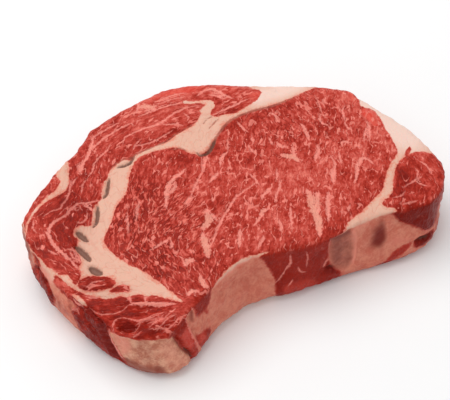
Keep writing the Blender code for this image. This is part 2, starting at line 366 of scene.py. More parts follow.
EYE_STREAKS: tuple[Streak, ...] = (
    Streak(0.5, ((12.6, -4.6), (9, -5.8), (4, -7.2), (0, -8.8), (-3.5, -11.5), (-8, -15),
                 (-11.5, -18.5), (-14.5, -21), (-18, -25.5), (-20.5, -28), (-23.4, -32))),
    Streak(1.6, ((-21.4, -20.6), (-22.2, -25), (-23, -29), (-24.4, -34))),
    Streak(1.5, ((-14.4, -10.4), (-15, -13.4), (-17, -16.4), (-20.8, -19))),
    Streak(0.6, ((-14.6, -9.4), (-13.2, -13), (-12.6, -17.4))),
    Streak(1.0, ((-12.6, 15.8), (-15.5, 14), (-19, 13), (-22, 11), (-24.6, 9), (-26, 6.4),
                 (-27.2, 3), (-28.8, 0.6), (-29.6, -2))),
    Streak(0.9, ((-20.2, 9.6), (-22.4, 7), (-25, 5))),
    Streak(0.45, ((-3.4, 19.4), (-5, 16), (-6.5, 12), (-9.5, 8.5), (-13, 5), (-16, 1.5), (-19, 0))),
    Streak(0.4, ((0.6, 21), (-1.8, 17.6), (-4.4, 14.4), (-6.4, 10.6))),
    Streak(0.65, ((8.6, 17), (5.2, 15.4), (3, 13), (1.4, 10))),
    Streak(0.35, ((11.6, 24.4), (9.8, 20), (8.4, 16.6))),
    Streak(0.6, ((-0.8, 8.2), (-1.6, 6.6), (-4.4, 5.6), (-6.8, 3.6))),
    Streak(1.5, ((29.2, 5.4), (31.4, 3.6), (34, 1.8), (35.2, -2))),
    Streak(0.8, ((34, 2), (35.4, 4.4), (36.8, 7.8))),
    Streak(0.8, ((46.2, 18.6), (46.6, 15), (45.8, 11), (45, 7.6))),
    Streak(0.7, ((42.2, -3.6), (44, -1.2), (46, 0.4), (46.8, 3.2))),
    Streak(0.5, ((53.8, -4.6), (52.6, -7.6), (51.8, -11))),
    Streak(0.8, ((51.2, -23.6), (54, -20.5), (56.6, -16.4), (59.4, -13.2), (62.2, -11.8),
                 (63.8, -14.2), (64.4, -17.6))),
    Streak(1.7, ((30.6, -17.6), (30.2, -21.6), (28.6, -26), (27.5, -31), (26.8, -36), (25, -40),
                 (23.6, -44))),
    Streak(1.3, ((33.6, -21), (31.6, -26), (29, -31.6))),
    Streak(0.5, ((11.8, 0.8), (12.6, -3), (12.6, -6.6))),
    Streak(0.8, ((9.8, -14.4), (12, -12.2), (14.4, -11.4), (17, -10.2))),
    Streak(0.55, ((22.4, -7.6), (20, -12), (17, -15), (15.2, -18.4))),
    Streak(1.1, ((9.6, -20.4), (7, -21.2), (5.4, -23.4))),
    Streak(0.45, ((5.4, -23.4), (2.4, -25.2), (0.4, -26.4))),
    Streak(0.9, ((-5.6, -25.4), (-7.6, -29.4), (-10.4, -34.6))),
    Streak(1.2, ((-35, -33.4), (-32.4, -31.6), (-30.2, -32.8))),
    Streak(1.2, ((-30.8, -41), (-31.8, -44), (-30.6, -47.8))),
    Streak(1.1, ((-40.4, -47.6), (-38, -46.8), (-35.6, -47.4))),
    Streak(0.6, ((-35.6, -18), (-39, -18.4), (-43.4, -19.6))),
    Streak(0.7, ((-36.6, -23), (-35.4, -20.6), (-34.8, -18.6))),
    Streak(0.5, ((-46, 3.4), (-48, -2), (-50, -8))),
    Streak(0.5, ((-38.6, 7.4), (-41.6, 2.4), (-44.4, -3))),
    Streak(0.55, ((57, 20), (55.4, 16), (57.2, 12))),
    Streak(0.4, ((60.8, 31.4), (60, 26), (58.4, 20.4))),
    Streak(0.5, ((70.6, 20.4), (68, 18), (66.6, 14), (65.6, 11.6))),
    Streak(0.6, ((74.4, 8), (74, 4), (72, 0), (69.6, -4.4))),
    Streak(0.5, ((72.8, 4.2), (70, 0.6), (67.2, -3.4))),
    Streak(0.55, ((11.6, -28), (11.2, -31), (9.6, -34.6))),
    Streak(0.5, ((49.6, -4.4), (49, -9), (47, -13), (44.2, -18.6))),
    Streak(0.9, ((38.6, -23), (35.6, -28), (33, -33), (30.4, -38))),
    Streak(0.55, ((43.2, -33.6), (41, -36.4))),
    Streak(0.6, ((37.4, 25), (38.4, 28.4), (36.4, 31))),
    Streak(0.55, ((20.6, 32), (20.8, 28), (22, 24.4))),
    Streak(0.6, ((24, -1.4), (22.8, -4.4), (20.8, -7.4))),
    Streak(0.7, ((31.4, 13), (31.2, 10.4), (33, 8.6))),
    Streak(0.5, ((18.8, 17), (18.6, 13.4), (20, 10.4))),
    Streak(0.5, ((22.4, 20.4), (21, 18.4))),
    Streak(0.5, ((29.2, 17), (28.8, 12.4))),
    Streak(0.7, ((46.6, -11.6), (44.6, -15.4), (42.8, -19.6))),
    Streak(0.6, ((-17, -1), (-19.4, -1.2), (-21.6, -3))),
    Streak(0.7, ((-9, -4.6), (-9.8, -6.6))),
    Streak(0.55, ((61.4, -1.4), (58.6, 0.6), (57, -1.6))),
    Streak(0.5, ((65.4, 10.4), (64.6, 7.4), (66, 5))),
    Streak(0.6, ((19.4, -24), (17.4, -28.6), (15, -33))),
    Streak(0.6, ((2, -33), (-0.6, -36), (-3.4, -38.4))),
)
CAP_STREAKS: tuple[Streak, ...] = (
    Streak(0.8, ((-43, 52), (-44.6, 49), (-47.4, 44.6), (-50, 41), (-53, 38.6), (-55.6, 36),
                 (-56.4, 32.6))),
    Streak(0.9, ((-55.8, 38), (-54.6, 36.4), (-55.6, 34))),
    Streak(0.4, ((-38, 43.4), (-41, 40.6), (-45, 38.6), (-48.4, 36), (-51, 32.4), (-54.4, 29))),
    Streak(0.4, ((-45, 50.4), (-40, 52.2), (-35, 53.6), (-29, 54.6))),
    Streak(0.5, ((-47, 44), (-42, 47), (-38, 49), (-32, 50.6), (-25, 52.2), (-23.6, 50.4))),
    Streak(0.45, ((-33, 41), (-30.6, 44.6), (-26, 45.8), (-20, 46.4), (-14, 46), (-8, 48),
                  (-3, 49.6), (3, 50.4), (9.6, 49))),
    Streak(0.5, ((-20, 54.4), (-12, 55.2), (-5, 55.2), (3.4, 54.6))),
    Streak(1.5, ((-17.4, 60), (-14.6, 59.4), (-12, 57.6), (-10.8, 55.4))),
    Streak(0.5, ((-20, 57.6), (-17.4, 60), (-16, 62.6))),
    Streak(0.4, ((-9.6, 59.6), (-3, 60.4), (3, 60.4), (6.6, 59))),
    Streak(0.35, ((-9, 58), (-2, 58.4), (5, 57.6))),
    Streak(0.7, ((10.4, 55.6), (14, 57), (18.6, 56.6), (21, 53.6), (22.4, 50.4), (25, 46.6))),
    Streak(0.55, ((16, 53.4), (19.4, 51.4), (20.6, 48.4))),
    Streak(0.5, ((11, 41), (17, 41.7), (25, 42.6), (32, 43.6))),
    Streak(0.35, ((-28, 38), (-22, 37.2), (-15, 38), (-9, 40))),
    Streak(0.35, ((-12.4, 46), (-9.6, 44), (-5.8, 43), (-3.4, 41))),
    Streak(0.35, ((0.4, 47), (1, 44.6), (-0.4, 42.6))),
    Streak(0.35, ((-30, 36.4), (-27.6, 39), (-24, 40.6))),
    Streak(0.4, ((-79.4, 16.6), (-75.5, 18), (-72, 17.6), (-69.6, 19.6), (-66.4, 22.6),
                 (-63, 28), (-62, 32))),
    Streak(0.8, ((-75, -20), (-75.8, -16), (-77.1, -11.4), (-78.5, -7.4), (-80, -3), (-81, 1),
                 (-81, 6), (-79.6, 9.6), (-77, 11.6), (-73, 12.6), (-70, 13.4), (-67.4, 15.6),
                 (-63, 17), (-60, 15.8), (-55, 15))),
    Streak(0.7, ((-62, 15.4), (-60, 13), (-58.8, 10.4))),
    Streak(0.45, ((-74.2, -4.4), (-73.8, -9), (-73.4, -13.4))),
    Streak(0.4, ((-76, -6), (-75.6, -9.6), (-74.6, -13))),
    Streak(0.4, ((-84, -1.4), (-83, -3.4), (-81.4, -5.6))),
    Streak(0.4, ((-62.4, 27.6), (-60.4, 30.6), (-58.6, 31.4))),
    Streak(0.4, ((-60, 22), (-58, 26), (-55.4, 28.4))),
    Streak(0.35, ((-66.4, 16), (-65.6, 13.6), (-64, 14))),
    Streak(0.4, ((-68, 8), (-66, 6.6), (-63, 8), (-61.6, 11))),
    Streak(0.4, ((-85.4, 9), (-85.8, 12.6), (-84, 16.4))),
)
TAIL_STREAKS: tuple[Streak, ...] = (
    Streak(0.25, ((-79, -36), (-77, -39.6), (-74, -42.2), (-70, -43.6), (-66, -43.2),
                  (-64, -42.4))),
    Streak(0.95, ((-64, -42.4), (-62, -42.6), (-58, -44.2), (-54, -46.2), (-50, -48.2),
                 (-46, -49.6))),
    Streak(0.3, ((-73.8, -52), (-73.4, -49.4), (-71.6, -47.4), (-69, -47.2), (-66.4, -48.8),
                  (-63.8, -51), (-61, -51.6), (-57, -51), (-52, -51.4))),
    Streak(0.3, ((-70.6, -56.2), (-67.4, -57), (-64, -56.2))),
    Streak(0.2, ((-67, -55), (-64.6, -53.6), (-62.4, -52.2), (-58, -52.6), (-53, -53))),
    Streak(0.3, ((-60.4, -56), (-58.4, -54.4), (-55.6, -53.6), (-52, -54))),
    Streak(0.25, ((-58, -58.6), (-55, -56.8), (-51.6, -55.2), (-48.4, -54.6))),
    Streak(0.2, ((-56, -60), (-52.4, -58.8), (-49.6, -57.4), (-47.6, -56))),
    Streak(0.2, ((-54.4, -54.6), (-51, -53), (-48, -52.4))),
    Streak(0.4, ((-62.6, -41.4), (-62.2, -39.4), (-61.4, -37.8))),
    Streak(0.4, ((-57, -43.2), (-56.2, -41.4), (-54.4, -41))),
    Streak(0.4, ((-76, -26.4), (-72.4, -25.4), (-69, -26.4))),
    Streak(0.4, ((-78.4, -30), (-75, -32.6), (-71, -33.6))),
    Streak(0.5, ((-65.8, -30.8), (-68.4, -31), (-71.6, -31))),
    Streak(0.35, ((-83, -36), (-82, -38.4), (-83, -40.4))),
)
LOBE_STREAKS: tuple[Streak, ...] = (
    Streak(0.4, ((69.6, -34.8), (73, -34), (76.6, -33.4), (80.4, -32.6))),
    Streak(0.4, ((76.4, -33.6), (77.4, -36), (79.4, -38.4))),
    Streak(0.35, ((76.8, -33.4), (79.4, -30.4), (80.4, -27.4))),
    Streak(0.35, ((64, -42), (67.6, -43.4), (71, -44))),
    Streak(0.35, ((63, -38), (66.4, -38.6), (69, -37))),
    Streak(0.4, ((84, -24), (85.6, -28.4), (85, -33))),
)
STREAKS = EYE_STREAKS + CAP_STREAKS + TAIL_STREAKS + LOBE_STREAKS

# Lighter (+) and darker (-) areas of the face, with an outline and without one.
# Some are the flesh's own tone; others are painted light: shade in the tail's folds and
# hollows and on the right lobe's falling edge, highlights on the tail's ridges, a pale
# sheen in the middle of the eye, and lighter flesh along the far rim.
FACE_TONES_AND_SHADING: tuple[ToneAndShadingArea, ...] = (
    ToneAndShadingArea(-0.4, 2.0, ((-80, -40), (-70, -39), (-60, -41), (-52, -44), (-45, -50), (-45, -58),
                      (-54, -64), (-68, -62), (-78, -54))),
    ToneAndShadingArea(-0.45, 2.0, ((-83, -24), (-77, -21), (-72, -21), (-66, -25), (-61, -31), (-58, -37),
                       (-64, -39), (-72, -36), (-79, -32))),
    ToneAndShadingArea(1.0, 0.6, ((-61, -54), (-58.4, -52.6), (-54.4, -52.8), (-53.6, -54.4), (-57.6, -55.4))),
    ToneAndShadingArea(0.8, 0.5, ((-66, -49.8), (-63.6, -48.4), (-60.4, -48.6), (-59.6, -50.2), (-62.6, -50.8))),
    ToneAndShadingArea(0.7, 0.7, ((-74, -27.4), (-71, -26.4), (-68, -27.2), (-70, -28.4))),
    ToneAndShadingArea(1.5, 0.8, ((75.4, 14.6), (77.6, 14.4), (79.8, 11), (80.2, 7), (79.2, 3.4), (77, 3),
                     (76, 6), (75.2, 10))),
    ToneAndShadingArea(0.15, 3.0, ((18, 2), (25, 5), (33, 0), (36, -6), (31, -13), (24, -16), (20, -10))),
    ToneAndShadingArea(-1.1, 0.7, ((-79.4, -33.6), (-77, -33.4), (-73.6, -34.8), (-70, -36.2), (-66, -37.2),
                      (-63, -39.2), (-63.4, -41.6), (-66, -42.4), (-70, -42.8), (-73.6, -41.4),
                      (-77, -38.6))),
    ToneAndShadingArea(-0.9, 0.6, ((-61.6, -39.2), (-59, -39.4), (-57.2, -40.8), (-57.4, -42.8),
                      (-59.6, -42.6), (-61.4, -41.2))),
    ToneAndShadingArea(-0.5, 0.6, ((-55.8, -42.8), (-52.6, -43.8), (-50, -45.8), (-49.6, -47), (-53, -45.8),
                      (-56, -44.4))),
    ToneAndShadingArea(-1.0, 0.7, ((-73, -44.8), (-68, -44.6), (-64, -45.4), (-60.6, -47.2), (-58, -48.8),
                      (-59.6, -49.8), (-63, -49), (-67, -46.8), (-72, -46.6))),
    ToneAndShadingArea(-1.9, 0.8, ((-72, -50.4), (-69, -49.4), (-66.8, -50.6), (-64.8, -52.6),
                      (-66.2, -54.2), (-69, -54.6), (-71.4, -53.2))),
    ToneAndShadingArea(-1.0, 1.0, ((-66, -55.4), (-63, -53), (-59, -52.8), (-56, -54.4), (-56, -57.6),
                      (-59, -59.6), (-63, -60), (-67, -58))),
    ToneAndShadingArea(0.45, 1.4, ((-56, -52), (-51, -51.2), (-47.4, -51.4), (-47.2, -57), (-50.6, -60),
                      (-54.6, -58))),
    ToneAndShadingArea(-1.5, 1.2, ((-80, -36), (-77.4, -41), (-75.4, -47), (-75.4, -56), (-76, -66),
                      (-80, -66), (-81, -50), (-82.4, -42))),
    ToneAndShadingArea(-0.8, 0.8, ((-78.4, -26.2), (-75, -27.6), (-71, -29.2), (-66, -29.4), (-66, -30.4),
                      (-71, -30.4), (-75.6, -29))),
    ToneAndShadingArea(0.8, 1.0, ((-86.4, -15.6), (-84.4, -18.4), (-83, -22), (-81.8, -26), (-84, -30),
                     (-86, -27), (-86.8, -20))),
    ToneAndShadingArea(-0.7, 1.0, ((-90, -31), (-86.6, -30), (-83.4, -36), (-80.6, -37), (-79, -34), (-77, -38),
                      (-80, -46), (-86, -46))),
    ToneAndShadingArea(-0.9, 0.7, ((74.4, -23.6), (71.6, -26.6), (69.2, -29.8), (67, -33.4), (65.2, -36.6),
                      (69, -38), (72, -35), (75, -30), (77, -25))),
)
TONES: tuple[Blob, ...] = (
    Blob(8, 60, 18, 5, 1.0), Blob(26, 53, 8, 6, 0.9), Blob(-20, 60, 20, 4, 0.5),
    Blob(-84, 23, 9, 4, 0.8), Blob(-70, 33, 8, 3, 0.6), Blob(-87, 9, 3, 5, 0.5),
    Blob(68, 33, 8, 4, 0.5), Blob(77, 25, 4, 5, 0.4), Blob(36, 45, 5, 3, 0.8),
    Blob(30, -8, 26, 14, 0.45), Blob(15, -26, 24, 12, 0.35), Blob(-8, 4, 16, 12, 0.2),
    Blob(66, -8, 14, 12, 0.2), Blob(-22, -10, 10, 8, 0.3),
    Blob(-87, 1, 4, 8, -0.9), Blob(-75, 2, 5, 9, -0.7), Blob(-72, 22, 9, 5, -0.6),
    Blob(-60, 36, 6, 8, -0.4), Blob(-66, 18, 5, 4, -0.3), Blob(-22, 38, 18, 3, -0.3),
    Blob(-76, -26, 5, 4, -0.4), Blob(-64, -33, 4, 2, -0.6), Blob(-53, -59, 5, 3, -0.8),
    Blob(-68, 12, 9, 12, -1.1), Blob(-74, -10, 6, 14, -0.4), Blob(-58, 30, 8, 8, -0.4),
    Blob(76, -27, 9, 7, -0.7), Blob(70, -38, 8, 6, -0.5), Blob(66, -46, 6, 4, -0.9),
    Blob(12, 61.5, 12, 2, 0.8), Blob(-6, 63, 16, 2, 0.5), Blob(88, -8, 12, 14, 0.9),
    Blob(86, 10, 9, 14, 1.0), Blob(62, 46, 14, 8, 0.5), Blob(80, 26, 12, 12, 0.7),
    Blob(-16, 47, 26, 7, 0.5), Blob(48, 42, 12, 5, 0.9), Blob(34, 41, 6, 4, 0.5),
    Blob(22, 40, 8, 1.6, -0.7), Blob(-13, 24, 6, 5, -0.3), Blob(32, 31, 20, 3, -0.4),
    Blob(-46, -30, 8, 10, -0.2), Blob(30, -43, 6, 2, -0.5),
)

# Where the cut is rough and the fibres stand up in ridges.
ROUGHS: tuple[Blob, ...] = (
    Blob(-46, -2, 14, 14, 1.0), Blob(-44, -26, 10, 12, 0.9), Blob(-30, 4, 12, 12, 0.6),
    Blob(-26, -14, 12, 8, 0.8), Blob(-40, 16, 8, 8, 0.5), Blob(-28, -38, 10, 8, 0.5),
    Blob(45, 20, 25, 12, 0.3), Blob(-62, 24, 10, 10, 0.2), Blob(-64, -50, 14, 12, -0.3),
)
# Where flecks of fat are many (+) or few (-).
MARBLED: tuple[Blob, ...] = (
    Blob(28, -5, 9, 10, -0.5), Blob(30, 14, 34, 18, 0.3), Blob(60, 0, 16, 18, 0.2), Blob(20, -24, 26, 14, 0.3),
    Blob(-30, -30, 16, 10, 0.1), Blob(-42, 8, 16, 18, -0.35), Blob(-12, 22, 10, 6, -0.4), Blob(-70, 0, 12, 20, -0.5),
    Blob(-20, 50, 40, 8, -0.15), Blob(-66, -48, 15, 12, -1.1), Blob(76, -30, 12, 12, -0.9),
    Blob(-72, 22, 12, 8, -0.4), Blob(-4, -18, 12, 8, 0.1), Blob(8, 60, 20, 5, -0.4),
)

GRAINS: tuple[Grain, ...] = (
    Grain(-50, -2, 55), Grain(-40, 10, 60), Grain(-45, -25, 88), Grain(-38, -36, 82),
    Grain(-30, -6, 38), Grain(-22, -12, 18), Grain(-25, 20, 50), Grain(-15, 10, 48),
    Grain(-10, 0, 45), Grain(0, -18, 48), Grain(-10, -35, 46), Grain(5, 10, 55),
    Grain(15, 20, 60), Grain(30, 25, 76), Grain(50, 25, 82), Grain(65, 20, 72),
    Grain(40, 0, 62), Grain(25, -10, 52), Grain(20, -30, 62), Grain(35, -30, 64),
    Grain(50, -15, 62), Grain(60, -22, 48), Grain(70, -5, 62), Grain(73, 10, 66),
    Grain(30, 46, 172), Grain(16, 56, 175), Grain(-10, 52, 8), Grain(-30, 48, 18),
    Grain(-46, 42, 46), Grain(-56, 32, 64), Grain(-63, 22, 64), Grain(-75, 20, 24),
    Grain(-66, 9, 50), Grain(-84, 10, 74), Grain(-76, 4, 88), Grain(-84, -6, 112),
    Grain(-78, -14, 112), Grain(-72, -26, 150), Grain(-66, -38, 155), Grain(-60, -47, 160),
    Grain(-64, -53, 155), Grain(-50, -54, 165), Grain(72, -30, 60), Grain(84, -30, 80),
)


# ---------------------------------------------------------------------- the side wall


class Flesh(Enum):
    """What a patch of the side wall is made of."""

    LEAN = "lean"
    FAT = "fat"
    SKIN = "silverskin"


@dataclass(frozen=True)
class WallPatch:
    """A patch on the wall chart: its flesh, its outline, and how light (+) or dark (-) it is."""

    flesh: Flesh
    outline: Line
    tone: float = 0.0


WALL_PATCHES: tuple[WallPatch, ...] = (
    WallPatch(Flesh.LEAN, ((52.5, 31), (54, 27.5), (55.8, 24.4), (57.2, 21), (58.6, 18), (60.2, 14.4),
                           (60.6, 9), (60.4, 5), (64, -3), (90, -3), (91.6, 4), (90, 8), (87.6, 11),
                           (86, 14.4), (85.8, 20), (86, 26), (87.4, 33), (60, 34)), -0.6),
    WallPatch(Flesh.LEAN, ((3, 28), (3.8, 23.4), (4.4, 19.6), (5.4, 16), (7.4, 12), (9, 6), (10.4, -3),
                           (13, -3), (13, 6), (12.6, 12), (12.2, 20), (12.4, 27), (14, 34), (-1, 34)),
              0.1),
    WallPatch(Flesh.LEAN, ((-28, 34), (-26, 25.2), (-23.5, 22.4), (-21, 24.6), (-18.4, 22.8),
                           (-16.6, 24.9), (-14.8, 24.4), (-12, 22.2), (-10.4, 23), (-9, 25),
                           (-6.4, 22.5), (-4.4, 23.6), (-2, 25.8), (0.2, 23), (2, 22), (4.5, 22.6),
                           (6, 34)),
              -0.8),
    WallPatch(Flesh.LEAN, ((17.2, 34), (17.6, 26), (18, 21.6), (20, 19.8), (22.6, 19), (24.4, 16.8),
                           (25, 20.6), (27, 24), (28.6, 27.4), (32, 34)), -0.7),
    WallPatch(Flesh.LEAN, ((13.8, 12.4), (15, 11.6), (18, 10.9), (21, 10.8), (23.2, 9.6),
                           (24, 7.6), (22.6, 5), (20, 3.4), (16, 4), (13.6, 8)), 0.2),
    WallPatch(Flesh.LEAN, ((112.6, 4.4), (115.6, 7.6), (119.6, 9.6), (125, 10.6), (124.6, 8),
                           (121, 6), (117, 3), (113.4, 2.6)), 0.1),
    # The next two patches are very dark: painted shade on the right lobe's hollow wall.
    WallPatch(Flesh.LEAN, ((115.5, 34), (117.6, 27.4), (120.6, 23.2), (124, 21), (128, 18),
                           (131.4, 14.6), (134, 12.6), (141, 12), (148, 14), (154, 20), (156, 34)),
              -1.9),
    WallPatch(Flesh.LEAN, ((127, 7), (128.6, 11), (132, 11.6), (138, 10), (139, 5), (131, 4.6)),
              -1.4),
    WallPatch(Flesh.LEAN, ((-25.6, 30), (-34, 30), (-45.4, 24.4), (-46, 20), (-47.6, 16.6),
                           (-44.6, 12), (-44, 4), (-36, -3), (-18, -3), (-19, 5), (-20.5, 10),
                           (-22.5, 15), (-24.5, 20), (-25.4, 24)), -0.4),
    WallPatch(Flesh.LEAN, ((-62, 31), (-61.4, 24), (-60, 22), (-55, 21.2), (-50, 20.6),
                           (-44, 20), (-42, 31)), 0.5),
    WallPatch(Flesh.LEAN, ((-73.6, 21), (-70, 20.2), (-66, 19.6), (-62.4, 18.8), (-60.6, 15.6),
                           (-60, 11.6), (-61, 8), (-66, 2), (-90, 1), (-82, 8), (-77.6, 14),
                           (-76.4, 20)), -0.7),
    WallPatch(Flesh.LEAN, ((-78.6, 26.4), (-77, 23.4), (-74, 21.4), (-71.6, 22.6), (-72, 26),
                           (-75, 28)), -1.0),
    WallPatch(Flesh.SKIN, ((86.4, 31), (86, 25), (86, 19), (87, 14), (89.4, 9.6), (92, 7.6),
                           (95, 8), (97, 12), (98.6, 19), (97.6, 25), (95, 29), (92, 31))),
    WallPatch(Flesh.SKIN, ((-80, 27), (-81, 21), (-85, 14), (-92, 6), (-99, 6), (-99, 24),
                           (-90, 27))),
)
# Lighter (+) and darker (-) areas of the wall. Some are the flesh's own tone. Others are painted light: shade in the
# creases beside the slab and by the small pits and along the slab's foot, and highlights along the top edges of the
# wall and of the slab.
WALL_TONES_AND_SHADING: tuple[ToneAndShadingArea, ...] = (
    ToneAndShadingArea(-0.9, 1.6, ((-46, 25), (-38, 24), (-31, 24), (-31, 8), (-44, 8))),
    ToneAndShadingArea(-0.4, 2.0, ((-78, 20), (-62, 19), (-60, 12), (-62, 6), (-80, 4))),
    ToneAndShadingArea(-0.4, 2.0, ((-90, 26), (-80, 26), (-80, 15), (-92, 8))),
    ToneAndShadingArea(-1.3, 1.6, ((-31.6, 25), (-26.4, 24.4), (-24.4, 18), (-21, 8), (-20, 2), (-27, 4),
                      (-31, 12))),
    ToneAndShadingArea(0.8, 1.8, ((-72, 27), (-62, 26.6), (-61, 21), (-70, 20.6))),
    ToneAndShadingArea(-0.35, 2.4, ((-61, 18.6), (-56, 17.6), (-48, 17), (-46, 13), (-58, 8), (-61, 12))),
    ToneAndShadingArea(0.9, 1.5, ((28, 32), (30.6, 27.8), (40, 27.4), (50, 28), (55, 30))),
    ToneAndShadingArea(-0.2, 3.0, ((38, 26), (54, 26), (58, 16), (44, 14))),
    ToneAndShadingArea(-0.8, 1.6, ((-20, 8), (-16, 9), (-12, 8), (-4, 8.4), (-1, 5), (-3, 1), (-18, 1))),
    ToneAndShadingArea(0.6, 2.6, ((-24, 22), (-16, 22.4), (-15, 16), (-18, 10), (-20, 8))),
    ToneAndShadingArea(0.35, 2.2, ((-3, 20), (3, 20), (4, 14), (7, 8), (8, 4), (0, 4), (-2, 12))),
    ToneAndShadingArea(-0.35, 2.0, ((-14, 21), (-8, 21), (-5, 15), (-7, 9), (-13, 10))),
    ToneAndShadingArea(0.9, 0.6, ((-24.6, 24), (-18, 24.4), (-10, 24), (-2, 24.6), (2, 23), (-2, 22.9),
                     (-10, 22.6), (-18, 22.8), (-24, 22))),
    ToneAndShadingArea(-1.0, 0.9, ((3.6, 21), (6, 19.4), (7, 15), (8.6, 10), (9.6, 4), (8.6, 4), (6.8, 10.6),
                      (4.4, 16))),
    ToneAndShadingArea(-0.8, 1.0, ((2.6, 28), (11.8, 28), (11.8, 22.6), (8, 21), (4, 20.4))),
    ToneAndShadingArea(0.9, 1.4, ((7.4, 20), (12, 20), (12.4, 12), (9.6, 10), (8, 14))),
    ToneAndShadingArea(-0.9, 0.9, ((14.8, 28), (16.8, 28), (16.4, 22.4), (15.4, 20))),
    ToneAndShadingArea(0.6, 1.2, ((14.4, 11), (19.4, 10.8), (19, 7.4), (15, 7.6))),
    ToneAndShadingArea(-0.5, 0.9, ((19.8, 10), (23, 9.4), (22.6, 6.2), (20.4, 6))),
    ToneAndShadingArea(0.8, 1.4, ((64, 8.6), (70, 10), (77, 8), (79, 2), (66, 2))),
    ToneAndShadingArea(0.4, 1.2, ((56, 31), (57, 28.6), (76, 28.6), (78, 31))),
    ToneAndShadingArea(0.3, 2.4, ((60, 26), (66, 26), (68, 18), (64, 14))),
    ToneAndShadingArea(-0.9, 0.8, ((83.6, 12), (86.6, 12.6), (89, 9), (88, 6.6), (84, 8))),
    ToneAndShadingArea(-0.35, 1.6, ((86.5, 27), (91, 27), (91.6, 18), (91, 10), (88, 12), (86.6, 18))),
    ToneAndShadingArea(-0.7, 1.4, ((86, 34), (97, 34), (97, 28), (92, 26.6), (86.4, 27.4))),
    ToneAndShadingArea(1.0, 0.9, ((96.4, 28), (98.6, 25.6), (99.4, 20), (98.8, 12), (97.2, 8), (97.4, 16),
                     (97, 22))),
    ToneAndShadingArea(0.5, 1.4, ((97, 30), (99, 26), (104, 26), (106, 29.5))),
    ToneAndShadingArea(0.5, 2.2, ((114, 27), (117, 24), (116, 18), (120, 16), (126, 13), (122, 12), (114, 12))),
    ToneAndShadingArea(1.6, 1.0, ((116, 31.4), (118.4, 28.6), (123, 28), (126, 31.4))),
)
WALL_TONES: tuple[Blob, ...] = (
    Blob(111.4, 19, 3.8, 4.6, -0.95), Blob(112, 25.4, 2.8, 4, -0.4),
    Blob(108.8, 15, 3.4, 2.6, -0.55), Blob(110, 19, 8, 8, -0.3), Blob(92, 20, 3.2, 5, -0.3),
)
WALL_SPECKLED: ToneAndShadingArea = ToneAndShadingArea(1.0, 2.0, ((-27, 26), (5, 26), (7, 18), (10, 10), (11, -2), (-18, -2)))
WALL_STREAKS: tuple[Streak, ...] = (
    Streak(0.55, ((12.4, 30), (12.5, 24), (12.4, 18), (12.8, 12), (13.6, 6), (14.6, 1))),
    Streak(0.5, ((16.8, 31), (17, 26), (16.8, 22), (16.4, 19))),
    Streak(0.45, ((67.4, 26), (67.3, 22), (66.8, 19.6), (65, 17), (62.5, 13.5), (60.5, 10.4))),
    Streak(0.4, ((71, 17.6), (71.4, 15.6), (72.6, 14), (73.8, 13.8))),
    Streak(0.4, ((66, 8.6), (67.2, 10.2), (68.2, 11.4))),
    Streak(0.3, ((74.6, 26), (75.2, 21), (74.8, 17))),
    Streak(0.5, ((82.8, 12.4), (83.4, 14.2), (84.8, 15.2), (86.8, 15))),
    Streak(0.4, ((86.2, 30), (86, 24), (86.2, 18), (87.2, 13))),
    Streak(0.7, ((119, 21.4), (123, 19.4), (127, 17), (131, 13.8), (136, 11.6))),
    Streak(0.6, ((-62, 19), (-56, 19.6), (-50, 19))),
    Streak(0.6, ((-50, 24), (-46, 22.4), (-42, 23))),
    Streak(0.5, ((-48, 17), (-45.4, 19), (-43, 18.4))),
    Streak(0.6, ((-25.8, 24.6), (-25, 20.4), (-23, 15), (-21, 10), (-19.6, 5))),
)
WALL_PITS: tuple[Streak, ...] = (
    Streak(0.5, ((7.6, 12.4), (8.4, 9), (9.4, 5), (10, 1))),
    Streak(0.7, ((127.8, 9.4), (130.6, 9.8), (135, 9), (139, 7))),
    Streak(0.3, ((84.8, 11.4), (86.8, 10.8), (88.6, 9.2))),
)

# The explicit part of the wall chart. Beyond it the wall shows what the rim above it shows.
WALL_DRAWN = (-97.0, 140.0)

